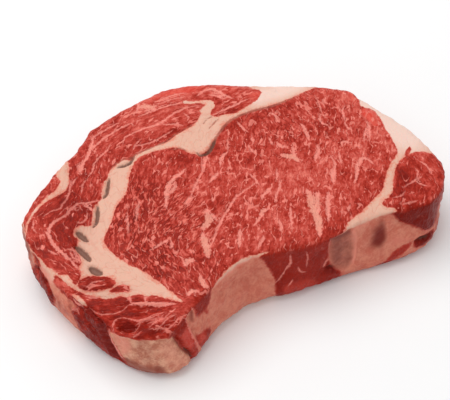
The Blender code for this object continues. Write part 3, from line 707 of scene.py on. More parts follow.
FOLDS: tuple[Fold, ...] = (
    Fold(0.9, 2.2, ((76.6, 13), (78, 9.6), (77.8, 4.8))),
    Fold(-1.0, 1.2, ((-79, -36.4), (-76, -40.6), (-72, -43.6), (-66, -44.8), (-61, -46.2),
                     (-55, -49.2), (-49, -50.6))),
    Fold(0.9, 1.3, ((-68, -41.8), (-62, -42.6), (-57, -44.6), (-52, -47.2), (-46, -49.8))),
    Fold(-0.7, 0.8, ((-63, -43.6), (-58, -45.8), (-53, -48), (-48, -49.8))),
    Fold(-0.8, 1.2, ((-80, -34), (-76, -35.6), (-70, -38.6), (-64, -40.4), (-58, -41.6),
                     (-52, -44.8))),
    Fold(0.8, 1.2, ((-76.5, -44.4), (-70, -44.4), (-64, -46), (-59, -48.4))),
    Fold(-1.0, 0.9, ((-75, -47.4), (-71, -45.8), (-67, -46.8), (-62.6, -49.8), (-56, -50.2))),
    Fold(1.1, 1.0, ((-74.4, -52.6), (-73.6, -49), (-71, -47.2), (-68, -47.8), (-64, -51),
                    (-60, -51.6), (-54, -51.4))),
    Fold(0.9, 1.0, ((-74, -51), (-73, -54), (-70.6, -55.8), (-67, -56.4))),
    Fold(-2.2, 1.8, ((-71.6, -51), (-69, -52), (-66.4, -53.2), (-64, -54.2))),
    Fold(-0.9, 1.2, ((-64, -53), (-60, -54), (-55.6, -54), (-50, -52.8))),
    Fold(0.7, 1.2, ((-66, -58), (-61, -57.4), (-56, -57.4), (-50.6, -55.4), (-47.6, -53.4))),
    Fold(-0.7, 0.9, ((-59, -60), (-54, -58.6), (-49.6, -56.4), (-47.4, -54.6))),
    Fold(-2.4, 2.4, ((-82, -34), (-80, -40), (-78, -47), (-77, -54), (-77, -60))),
    Fold(-0.6, 1.0, ((-80, -29.6), (-75, -33.4), (-70, -35.4), (-64, -37.2))),
    Fold(0.5, 1.6, ((-77.6, -23.6), (-72, -25.4), (-67, -28.2))),
    Fold(-0.7, 0.9, ((-78, -26.8), (-73, -29.6), (-67, -30.8), (-62, -35), (-58, -36))),
    Fold(-0.8, 1.0, ((-85.8, -15.4), (-84, -19.4), (-82, -24.6), (-80.4, -27.8))),
    Fold(0.8, 1.2, ((-82.2, -27.4), (-81, -30.6), (-81, -34.6))),
    Fold(-0.9, 1.0, ((-84, -28), (-83.6, -32), (-82.4, -36.4), (-80, -37))),
    Fold(-0.7, 0.9, ((63, -41.4), (66, -43.4), (70, -46))),
    Fold(-0.8, 1.2, ((60, -39.6), (58.4, -42), (60, -45))),
    Fold(-0.5, 0.9, ((-26, 35.6), (-16, 36.4), (-8, 38.6), (0, 41), (6, 44))),
    Fold(0.7, 2.0, ((-12, 15), (-17, 12.6), (-22, 10), (-25.6, 6), (-28, 1))),
    Fold(-0.45, 1.0, ((-9.8, 15.8), (-14, 10), (-20, 6.4), (-24.4, 2))),
    Fold(-0.5, 1.2, ((12.6, -4.6), (4, -7.2), (-3.5, -11.5), (-11.5, -18.5), (-18, -25.5),
                     (-23.4, -32))),
    Fold(-0.4, 1.1, ((-3, 19.4), (-6.5, 12), (-13, 5), (-19, 0), (-22, -8))),
)
WALL_FOLDS: tuple[Fold, ...] = (
    Fold(1.0, 1.6, ((-26, 26), (-25, 20.4), (-23, 15), (-21, 10), (-19.6, 5))),
    Fold(-2.2, 2.2, ((-30, 28), (-28.6, 20), (-26, 12), (-22.6, 4), (-20, 0))),
    Fold(0.9, 1.2, ((-25, 23.2), (-18, 23.2), (-10, 23.4), (-3, 23.6), (3, 22.6))),
    Fold(-0.9, 0.9, ((-25, 25), (-16, 25), (-8, 25.2), (2, 24.8))),
    Fold(-1.5, 1.3, ((3.6, 23), (5, 18.4), (7.2, 12.6), (9, 6), (10, 0))),
    Fold(-0.7, 1.2, ((14.4, 26), (14.6, 18), (15.4, 10))),
    Fold(-0.9, 1.8, ((20, 27), (22, 22), (24, 17))),
    Fold(0.8, 0.9, ((12.4, 30), (12.5, 24), (12.4, 18), (12.8, 12), (13.6, 6))),
    Fold(-0.8, 1.2, ((-45, 24), (-40, 19), (-34, 16), (-30, 12))),
    Fold(-0.8, 1.0, ((-62, 20.6), (-55, 20.4), (-49, 19.6), (-44, 18.6))),
    Fold(-0.9, 1.2, ((-74, 21), (-68, 19.4), (-62, 17), (-59, 12), (-60, 6))),
    Fold(-0.9, 1.1, ((-79, 26), (-76.4, 23.6), (-73.6, 21.6), (-73, 16))),
    Fold(-0.7, 1.0, ((-82, 24), (-80, 18), (-82, 10))),
    Fold(-1.2, 1.6, ((126, 9), (131, 9.8), (138, 8))),
    Fold(-0.9, 1.0, ((116, 30), (119, 24.4), (123, 21.4), (128, 18), (134, 13))),
    Fold(-0.6, 1.0, ((59, 8), (61.6, 12), (65.6, 17.4), (67.4, 24))),
    Fold(-0.9, 1.2, ((82, 9), (86, 11.2), (91, 8))),
    Fold(-0.5, 1.0, ((96.8, 6), (97.4, 14), (97.2, 20), (95.6, 27))),
    Fold(-0.5, 1.4, ((28, 24), (36, 21), (46, 19.6), (54, 18))),
    Fold(0.4, 2.0, ((30, 17), (38, 13), (48, 12), (56, 10))),
)

# Where the rim bulges out (+) or is nicked (-).
NICKS: tuple[Blob, ...] = (
    Blob(-42, 57, 2.6, 2.6, 1.0), Blob(-46.8, 51.6, 2.6, 2.6, -0.7), Blob(77.5, 28, 2.2, 2.2, 1.0),
    Blob(80.4, 23.6, 1.8, 1.8, -0.9), Blob(72, 33, 2.4, 2.4, -0.6), Blob(-74, 32, 2.4, 2.4, 0.7),
    Blob(2, 68, 34, 12, 1.3), Blob(30, 68, 16, 12, 1.4), Blob(-2, 67, 3, 3, 0.5), Blob(4, 67, 2.6, 2.6, -0.3), Blob(40, 50, 12, 12, 1.0),
    Blob(66, 38, 6, 6, 0.6), Blob(-30, 60, 12, 8, 0.6), Blob(-62, 43, 7, 7, 0.8),
    Blob(-54, 48, 3, 3, -0.7), Blob(-89, 4, 3, 14, -0.8), Blob(-86, -14, 6, 8, 0.6),
    Blob(-84, -36, 8, 10, -1.3), Blob(-78, -52, 7, 7, -1.6), Blob(-46, -64, 12, 8, 1.0),
    Blob(-70, -60, 6, 6, -1.2), Blob(-38, -52, 5, 6, 0.7), Blob(46, -48, 10, 6, -0.7),
    Blob(74, -50, 10, 8, 0.8),
)


# --------------------------------------------------------------- what each place is made of


@dataclass
class Fields:
    """What the steak is made of at each vertex; depths and gaps are in millimetres.

    A depth is how far inside a kind of flesh the vertex lies, and is negative outside it.
    A streak row holds the signed side, the plain gap and the half width of the nearest line.
    """

    fat: np.ndarray
    pit: np.ndarray
    # Silverskin, and on the cut face also painted shadow lines beside the seams.
    skin: np.ndarray
    streak: np.ndarray
    # How light or dark the flesh is drawn: its own tone, and also painted shade and light.
    tone: np.ndarray
    rough: np.ndarray
    marbled: np.ndarray
    fold: np.ndarray

    @classmethod
    def blank(cls, count: int) -> Fields:
        """Plain lean flesh at every one of count vertices."""
        deep = np.full(count, -FAR)
        nothing = np.zeros(count)
        return cls(deep, deep.copy(), deep.copy(), no_streak(count), nothing, nothing.copy(),
                   nothing.copy(), nothing.copy())

    def blended(self, other: Fields, share: np.ndarray) -> Fields:
        """Mixes in another set of fields.

        Args:
            other: the fields to mix in.
            share: how much of them each vertex takes, from 0 to 1.

        Returns:
            The mixed fields. Streaks aren't mixed: each vertex keeps the stronger share's.
        """
        def mix(mine: np.ndarray, theirs: np.ndarray) -> np.ndarray:
            """One field, mixed."""
            return mine + (theirs - mine) * share

        streak = np.where(share[:, None] > 0.5, other.streak, self.streak)
        return Fields(mix(self.fat, other.fat), mix(self.pit, other.pit),
                      mix(self.skin, other.skin), streak, mix(self.tone, other.tone),
                      mix(self.rough, other.rough), mix(self.marbled, other.marbled),
                      mix(self.fold, other.fold))


def no_streak(count: int) -> np.ndarray:
    """Streak rows for places that no line is near."""
    return np.tile((FAR, FAR, 0.0), (count, 1))


def nearest_streaks(spots: np.ndarray, streaks: tuple[Streak, ...], wander: np.ndarray,
                    reach: float = 4.0) -> np.ndarray:
    """Finds the line that each spot is nearest to, or deepest in.

    Args:
        spots: places on a chart.
        streaks: the lines.
        wander: a small shift for each spot, which makes the lines waver.
        reach: how far from its line a spot is still measured.

    Returns:
        A row for each spot: signed side, gap and half width.
    """
    found = no_streak(len(spots))
    waved = spots + wander
    for streak in streaks:
        line = smooth_line(streak.points)
        low, high = line.min(axis=0) - reach, line.max(axis=0) + reach
        close = np.flatnonzero(((waved > low) & (waved < high)).all(axis=1))
        gap, side, along = near_line(waved[close], line)
        width = streak.widths(along)
        nearer = gap - width < found[close, 1] - found[close, 2]
        rows = np.stack([side, gap, width], axis=1)
        found[close[nearer]] = rows[nearer]
    return found


def line_depth(spots: np.ndarray, lines: tuple[Streak, ...], reach: float = 5.0) -> np.ndarray:
    """How deep each spot lies inside the nearest of some lines, minus outside."""
    found = nearest_streaks(spots, lines, np.zeros_like(spots), reach)
    return np.maximum(found[:, 2] - found[:, 1], -FAR)


def blobs_over(spots: np.ndarray, blobs: tuple[Blob | ToneAndShadingArea, ...]) -> np.ndarray:
    """The summed strength of areas at each spot."""
    return sum(blob.over(spots) for blob in blobs)


@dataclass
class CutFace:
    """The upper cut face, drawn on the chart: muscles, fat seams, marbling, pits and folds.

    The chart is flat, at the height of the steak's top, and is drawn as seen from the
    camera. So a place lower than that is found on it along the line of sight.
    """

    eye: Point3
    middle: Point = (1.2, 1.7)
    height: float = 30.0
    lowest: float = 21.0
    grain_reach: float = 8.0

    def spots(self, places: np.ndarray) -> np.ndarray:
        """Where places of the steak lie on the chart."""
        eye = np.array(self.eye)
        level = np.maximum(places[:, 2], self.lowest)
        rise = (self.height - level) / (eye[2] - level)
        return places[:, :2] + (eye[:2] - places[:, :2]) * rise[:, None] + self.middle

    def grain(self, spots: np.ndarray) -> np.ndarray:
        """Which way the fibres run at each spot, as the cosine and sine of twice the angle."""
        total = np.zeros((len(spots), 2))
        for mark in GRAINS:
            gap = np.hypot(spots[:, 0] - mark.x, spots[:, 1] - mark.y)
            weight = 1 / (1 + (gap / self.grain_reach) ** 4)
            turn = math.radians(2 * mark.degrees)
            total += weight[:, None] * (math.cos(turn), math.sin(turn))
        return total / np.maximum(np.hypot(*total.T), 1e-6)[:, None]

    def fields(self, places: np.ndarray, spots: np.ndarray) -> Fields:
        """Draws the face.

        Args:
            places: vertices, in millimetres.
            spots: where they lie on the chart.

        Returns:
            The fields that the chart gives them.
        """
        made = Fields.blank(len(spots))
        waver = np.stack([noise(places, 3.2, 41, 2), noise(places, 3.2, 57, 2)], axis=1)
        waved = spots + 0.35 * waver
        for area in FAT_AREAS:
            made.fat = np.maximum(made.fat, depth_in(waved, area))
        for island in LEAN_ISLANDS:
            made.fat = np.minimum(made.fat, -depth_in(waved, island))
        made.pit = line_depth(spots + 0.2 * waver, PITS)
        made.skin = line_depth(spots + 0.15 * waver, SKIN_AND_SHADOW_LINES)
        made.streak = nearest_streaks(spots, STREAKS, 0.3 * waver)
        made.tone = blobs_over(spots, TONES) + blobs_over(waved, FACE_TONES_AND_SHADING)
        made.rough = np.clip(blobs_over(spots, ROUGHS), 0, 1)
        made.marbled = blobs_over(spots, MARBLED)
        for fold in FOLDS:
            made.fold = fold.added(made.fold, spots)
        return made


@dataclass
class SideWall:
    """The side of the steak, drawn on the wall chart.

    Its outline is the steak's, at half its height. Past the part that is drawn, the wall
    shows the flesh of the rim above it under a thin, broken film of fat.
    """

    outline: np.ndarray
    fade: float = 6.0

    def places(self, vertices: np.ndarray) -> tuple[np.ndarray, np.ndarray]:
        """Finds vertices on the wall chart.

        Args:
            vertices: their positions, in millimetres.

        Returns:
            Their places on the chart, and the nearest point of the outline to each.
        """
        ring = np.concatenate([self.outline, self.outline[:1]])
        runs = np.hypot(*np.diff(ring, axis=0).T)
        around = runs.sum()
        _, _, along = near_line(vertices[:, :2], ring)
        starts = np.concatenate([[0.0], np.cumsum(runs)]) / around
        nearest = np.stack([np.interp(along, starts, ring[:, i]) for i in range(2)], axis=1)
        run = np.where(along > 0.5, along - 1, along) * around
        return np.stack([run, vertices[:, 2]], axis=1), nearest

    def fields(self, vertices: np.ndarray, face: CutFace) -> Fields:
        """Draws the wall.

        Args:
            vertices: their positions, in millimetres.
            face: the cut face, whose rim the plain part of the wall follows.

        Returns:
            The fields that the wall chart gives them.
        """
        spots, rim = self.places(vertices)
        waver = np.stack([noise(vertices, 4.5, 77, 2), noise(vertices, 4.5, 91, 2)], axis=1)
        drawn = self.drawn(spots, waver)
        plain = self.plain(vertices, rim, face)
        past = np.maximum(WALL_DRAWN[0] - spots[:, 0], spots[:, 0] - WALL_DRAWN[1])
        return drawn.blended(plain, ease(past, -self.fade, self.fade))

    def drawn(self, spots: np.ndarray, waver: np.ndarray) -> Fields:
        """The part of the wall that has patches of its own, on a ground of fat."""
        made = Fields.blank(len(spots))
        waved = spots + 0.5 * waver
        made.fat = np.full(len(spots), FAR)
        for patch in WALL_PATCHES:
            depth = depth_in(waved, patch.outline)
            if patch.flesh is Flesh.SKIN:
                made.skin = np.maximum(made.skin, depth)
            else:
                made.fat = np.minimum(made.fat, -depth)
                made.tone = made.tone + patch.tone * ease(depth, -1.0, 1.5)
        made.tone = made.tone + blobs_over(waved, WALL_TONES_AND_SHADING) + blobs_over(waved, WALL_TONES)
        made.marbled = WALL_SPECKLED.over(spots)
        made.rough = ease(-spots[:, 0], 26.0, 34.0)
        made.streak = nearest_streaks(spots, WALL_STREAKS, 0.3 * waver)
        made.pit = line_depth(waved, WALL_PITS)
        for fold in WALL_FOLDS:
            made.fold = fold.added(made.fold, spots)
        return made

    def plain(self, vertices: np.ndarray, rim: np.ndarray, face: CutFace) -> Fields:
        """The part of the wall that follows the flesh of the rim, under its film of fat."""
        made = Fields.blank(len(vertices))
        high = np.column_stack([rim, np.full(len(rim), face.height)])
        at_rim = face.spots(high) + 1.2 * noise(vertices, 9.0, 12, 2)[:, None]
        fat = np.full(len(vertices), -FAR)
        for area in FAT_AREAS:
            fat = np.maximum(fat, depth_in(at_rim, area))
        upright = vertices * (1.0, 1.0, 0.45)
        film = 2.6 * noise(upright, 13.0, 5, 2) + 0.9 * noise(upright, 3.0, 8, 2) - 0.1
        made.fat = np.maximum(fat, film)
        # The plain wall is drawn a little darker than the top, as painted shade, with a random mottle.
        made.tone = -0.3 + 0.35 * noise(vertices, 14.0, 21, 2)
        return made


@dataclass
class Relief:
    """The shape of the surface on top of the smooth form, in millimetres."""

    muscle: float = 0.5
    muscle_edge: float = 2.2
    fibre: float = 0.16
    coarse_fibre: float = 0.2
    seam_dip: float = 0.35
    pit_depth: float = 1.7
    skin_dip: float = 0.3
    swell: float = 0.3
    ragged: float = 0.5
    tatter: float = 0.35

    def rise(self, places: np.ndarray, grain: np.ndarray, fields: Fields,
             wall: np.ndarray) -> np.ndarray:
        """How far each vertex stands proud.

        Args:
            places: vertices, in millimetres.
            grain: the way of the fibres at each.
            fields: what each is made of.
            wall: how much each belongs to the side wall.

        Returns:
            The height along the vertex's normal.
        """
        lean = ease(-fields.fat, -0.4, 0.8)
        depth = np.clip(-fields.fat, 0.0, FAR)
        muscle = self.muscle * (1 - np.exp(-depth / self.muscle_edge))
        fibres = fibre_noise(places, grain, 1.7, 5.5, 301)
        coarse = fibre_noise(places, grain, 2.6, 8.0, 333)
        rough = 0.25 + fields.rough
        made = lean * (muscle + rough * (self.fibre * fibres + self.coarse_fibre * coarse))
        inside_streak = ease(fields.streak[:, 2] - fields.streak[:, 1], -0.5, 0.4)
        made -= self.seam_dip * inside_streak * np.clip(fields.streak[:, 2], 0.3, 0.8) * lean
        made -= self.pit_depth * ease(fields.pit, -0.7, 0.9)
        made -= self.skin_dip * ease(fields.skin, -0.6, 0.4) * (1 - wall)
        made += self.swell * noise(places, 11.0, 17, 2) * (0.5 + wall)
        made += 0.12 * noise(places, 4.0, 23, 2) * (1 - lean) + fields.fold
        return made

    def spread(self, places: np.ndarray, spots: np.ndarray) -> np.ndarray:
        """How far the wall at each vertex stands out sideways: its bulges, nicks and tatters."""
        tatters = self.ragged * noise(places, 5.0, 61, 2) + self.tatter * noise(places, 2.3, 67)
        return blobs_over(spots, NICKS) + tatters


# ------------------------------------------------------------------------- the fine mesh


def fibre_noise(places: np.ndarray, grain: np.ndarray, width: float, length: float,
                seed: int) -> np.ndarray:
    """Noise drawn out along the grain.

    It is made along fixed ways and mixed by how near each is to the grain, because noise
    turned by an angle that changes from place to place would be torn.

    Args:
        places: vertices, in millimetres.
        grain: the cosine and sine of twice the grain's angle at each.
        width: the bumps' width, in millimetres.
        length: the bumps' length, in millimetres.
        seed: which of many patterns.

    Returns:
        One value, about -1 to 1, for each vertex.
    """
    total = np.zeros(len(places))
    power = np.full(len(places), 1e-6)
    for way in range(FIBRE_WAYS):
        turn = math.pi * way / FIBRE_WAYS
        cosine, sine = math.cos(turn), math.sin(turn)
        drawn = np.stack([
            (places[:, 0] * cosine + places[:, 1] * sine) / length,
            (places[:, 1] * cosine - places[:, 0] * sine) / width,
            places[:, 2] / length,
        ], axis=1)
        share = np.clip(grain @ (math.cos(2 * turn), math.sin(2 * turn)), 0, 1) ** FIBRE_FOCUS
        total += share * noise(drawn, 1.0, seed, 2)
        power += share * share
    return total / np.sqrt(power)


@dataclass
class FineForm:
    """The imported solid, rounded and remade as a fine and even mesh."""

    cell: float = 0.75
    ease_turns: int = 6

    def source(self) -> bpy.types.Mesh:
        """The solid's mesh with its split vertices welded and its triangles paired."""
        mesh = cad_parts[NODE].data.copy()
        form = bmesh.new()
        form.from_mesh(mesh)
        bmesh.ops.remove_doubles(form, verts=form.verts, dist=WELD)
        bmesh.ops.join_triangles(
            form, faces=form.faces, angle_face_threshold=math.radians(35),
            angle_shape_threshold=math.radians(50),
        )
        form.to_mesh(mesh)
        form.free()
        return mesh

    def build(self) -> bpy.types.Object:
        """Makes the fine mesh as an object of its own."""
        draft = bpy.data.objects.new("draft", self.source())
        bpy.context.scene.collection.objects.link(draft)
        rounded = draft.modifiers.new("Rounding", "SUBSURF")
        rounded.levels = rounded.render_levels = 1
        even = draft.modifiers.new("Even", "REMESH")
        even.mode = "VOXEL"
        even.voxel_size = self.cell * MM
        even.use_smooth_shade = True
        eased = draft.modifiers.new("Eased", "SMOOTH")
        eased.factor = 0.5
        eased.iterations = self.ease_turns
        found = bpy.context.evaluated_depsgraph_get()
        mesh = bpy.data.meshes.new_from_object(draft.evaluated_get(found))
        bpy.data.objects.remove(draft)
        steak = bpy.data.objects.new("ribeye", mesh)
        bpy.context.scene.collection.objects.link(steak)
        return steak

    def outline(self, share: float = 0.5) -> np.ndarray:
        """The solid's outline at a share of its height, anticlockwise from its lowest Y.

        Args:
            share: the share of the height, from 0 to 1.

        Returns:
            The outline's corners in millimetres. They go round in the order of their angle
            about the middle, which every one of them can be seen from.
        """
        low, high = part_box(NODE)
        form = bmesh.new()
        form.from_mesh(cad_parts[NODE].data)
        bmesh.ops.remove_doubles(form, verts=form.verts, dist=WELD)
        cut = bmesh.ops.bisect_plane(
            form, geom=form.verts[:] + form.edges[:] + form.faces[:],
            plane_co=(0, 0, low.z + share * (high.z - low.z)), plane_no=(0, 0, 1),
        )["geom_cut"]
        ring = np.array([part.co.xy[:] for part in cut if isinstance(part, bmesh.types.BMVert)])
        form.free()
        ring = ring[np.argsort(np.arctan2(ring[:, 1], ring[:, 0]))] / MM
        return np.roll(ring, -int(np.argmin(ring[:, 1])), axis=0)


# ---------------------------------------------------------------------------- the finishes


Socket = bpy.types.NodeSocket
Tint = tuple[float, float, float, float]


def tint(red: int, green: int, blue: int) -> Tint:
    """A colour given in the usual 0 to 255 steps, as the linear values that nodes take."""
    shares = (value / 255 for value in (red, green, blue))
    flat = (c / 12.92 if c <= 0.04045 else ((c + 0.055) / 1.055) ** 2.4 for c in shares)
    return (*flat, 1.0)


class Board:
    """A node tree being wired, with short ways to place the nodes that it needs."""

    def __init__(self, tree: bpy.types.NodeTree) -> None:
        """Starts on an empty tree."""
        self.tree = tree
        tree.nodes.clear()

    def put(self, kind: str, inputs: dict | tuple = (), **settings: object) -> bpy.types.Node:
        """Adds a node.

        Args:
            kind: the node's type, without its leading "ShaderNode".
            inputs: values or sockets, by the input's name or in order.
            settings: the node's own settings.

        Returns:
            The node.
        """
        node = self.tree.nodes.new("ShaderNode" + kind)
        for name, value in settings.items():
            setattr(node, name, value)
        for key, value in inputs.items() if isinstance(inputs, dict) else enumerate(inputs):
            self.feed(node.inputs[key], value)
        return node

    def feed(self, slot: Socket, value: Socket | float | tuple) -> None:
        """Links a socket to an input, or sets the input's value."""
        if isinstance(value, bpy.types.NodeSocket):
            self.tree.links.new(value, slot)
        else:
            slot.default_value = value

    def sum(self, *values: Socket | float) -> Socket:
        """Adds up values."""
        total = values[0]
        for value in values[1:]:
            total = self.put("Math", (total, value), operation="ADD").outputs[0]
        return total

    def times(self, *values: Socket | float) -> Socket:
        """Multiplies values."""
        total = values[0]
        for value in values[1:]:
            total = self.put("Math", (total, value), operation="MULTIPLY").outputs[0]
        return total

    def math(self, operation: str, *values: Socket | float) -> Socket:
        """Any other sum on values."""
        return self.put("Math", values, operation=operation).outputs[0]

    def level(self, value: Socket, low: Socket | float, high: Socket | float) -> Socket:
        """Rises smoothly from 0 where the value is low to 1 where it is high."""
        node = self.put("MapRange", (value, low, high), interpolation_type="SMOOTHSTEP")
        return node.outputs[0]

    def mix(self, share: Socket | float, low: Socket | Tint, high: Socket | Tint) -> Socket:
        """Mixes two colours."""
        return self.put("Mix", {0: share, 6: low, 7: high}, data_type="RGBA").outputs[2]

    def clouds(self, place: Socket, size: float, detail: float = 2.0) -> Socket:
        """Noise from about -1 to 1, with bumps of a size in millimetres."""
        node = self.put("TexNoise", {"Vector": place, "Scale": 1 / size, "Detail": detail})
        return self.math("MULTIPLY_ADD", node.outputs[0], 4.0, -2.0)

    def split(self, name: str) -> tuple[Socket, Socket, Socket]:
        """The three numbers of a named mesh attribute."""
        vector = self.put("Attribute", attribute_name=name).outputs["Vector"]
        return tuple(self.put("SeparateXYZ", (vector,)).outputs)

    def ramp(self, value: Socket, stops: tuple[tuple[float, Tint], ...]) -> Socket:
        """A run of colours, by place from 0 to 1."""
        node = self.put("ValToRGB", (value,))
        marks = node.color_ramp.elements
        while len(marks) < len(stops):
            marks.new(0.5)
        for mark, (place, colour) in zip(marks, stops):
            mark.position = place
            mark.color = colour
        return node.outputs[0]


class Effect:
    """A shader node group, built once and placed in a board by name."""

    name = "Effect"
    takes: dict[str, tuple[str, float | tuple]] = {}
    gives: dict[str, str] = {}

    @classmethod
    def group(cls) -> bpy.types.NodeTree:
        """The group's tree, made on the first call."""
        if cls.name in bpy.data.node_groups:
            return bpy.data.node_groups[cls.name]
        tree = bpy.data.node_groups.new(cls.name, "ShaderNodeTree")
        for title, (kind, usual) in cls.takes.items():
            slot = tree.interface.new_socket(title, in_out="INPUT", socket_type=kind)
            slot.default_value = usual
        for title, kind in cls.gives.items():
            tree.interface.new_socket(title, in_out="OUTPUT", socket_type=kind)
        board = Board(tree)
        given = tree.nodes.new("NodeGroupInput").outputs
        made = cls.wire(board, {title: given[title] for title in cls.takes})
        out = tree.nodes.new("NodeGroupOutput")
        for title, value in made.items():
            tree.links.new(value, out.inputs[title])
        return tree

    @classmethod
    def wire(cls, board: Board, given: dict[str, Socket]) -> dict[str, Socket]:
        """Wires the inside of the group."""
        raise NotImplementedError

    @classmethod
    def place(cls, board: Board, **inputs: Socket | float) -> Socket:
        """Places the group in a board and gives its first output."""
        node = board.put("Group", node_tree=cls.group())
        for title, value in inputs.items():
            board.feed(node.inputs[title], value)
        return node.outputs[0]


class FibreField(Effect):
    """Noise drawn out along the grain of the meat, from about -1 to 1.

    It is made along fixed ways and mixed by how near each is to the grain.
    """

    name = "Fibre field"
    takes = {
        "Place": ("NodeSocketVector", (0.0, 0.0, 0.0)),
        "Way": ("NodeSocketVector", (1.0, 0.0, 0.0)),
        "Width": ("NodeSocketFloat", 1.0),
        "Length": ("NodeSocketFloat", 3.0),
        "Detail": ("NodeSocketFloat", 1.0),
    }
    gives = {"Height": "NodeSocketFloat"}

    @classmethod
    def wire(cls, board: Board, given: dict[str, Socket]) -> dict[str, Socket]:
        """Wires the ways and mixes them.

        Args:
            board: the group's board.
            given: the group's inputs by name.

        Returns:
            The group's outputs by name.
        """
        along = board.math("DIVIDE", 1.0, given["Length"])
        across = board.math("DIVIDE", 1.0, given["Width"])
        scale = board.put("CombineXYZ", (along, across, along)).outputs[0]
        total: Socket | float = 0.0
        power: Socket | float = 1e-4
        for way in range(FIBRE_WAYS):
            turn = math.pi * way / FIBRE_WAYS
            turned = board.put(
                "VectorRotate", {"Vector": given["Place"], "Angle": -turn},
                rotation_type="Z_AXIS",
            ).outputs[0]
            drawn = board.put("VectorMath", (turned, scale), operation="MULTIPLY").outputs[0]
            bumps = board.put("TexNoise", {"Vector": drawn, "Scale": 1.0,
                                           "Detail": given["Detail"]}).outputs[0]
            aim = (math.cos(2 * turn), math.sin(2 * turn), 0.0)
            near = board.put("VectorMath", (given["Way"], aim), operation="DOT_PRODUCT")
            share = board.math("POWER", board.math("MAXIMUM", near.outputs["Value"], 0.0),
                               FIBRE_FOCUS)
            signed = board.math("MULTIPLY_ADD", bumps, 4.0, -2.0)
            total = board.math("MULTIPLY_ADD", signed, share, total)
            power = board.math("MULTIPLY_ADD", share, share, power)
        return {"Height": board.math("DIVIDE", total, board.math("SQRT", power))}


class StreakMask(Effect):
    """Where a drawn line of fat or sinew lies, from its side, gap and half width."""

    name = "Streak mask"
    takes = {
        "Side": ("NodeSocketFloat", FAR),
        "Gap": ("NodeSocketFloat", FAR),
        "Width": ("NodeSocketFloat", 0.0),
        "Unevenness": ("NodeSocketFloat", 0.0),
        "Softness": ("NodeSocketFloat", 0.2),
    }
    gives = {"Mask": "NodeSocketFloat"}

    @classmethod
    def wire(cls, board: Board, given: dict[str, Socket]) -> dict[str, Socket]:
        """Wires the mask.

        Args:
            board: the group's board.
            given: the group's inputs by name.

        Returns:
            The group's outputs by name.
        """
        spread = board.math("MULTIPLY_ADD", given["Unevenness"], given["Width"], given["Width"])
        inner = board.math("SUBTRACT", spread, board.math("ABSOLUTE", given["Side"]))
        edge = board.level(inner, board.times(given["Softness"], -1.0), given["Softness"])
        near = board.math("SUBTRACT", board.sum(given["Width"], 1.0), given["Gap"])
        return {"Mask": board.times(edge, board.level(near, 0.0, 0.3))}


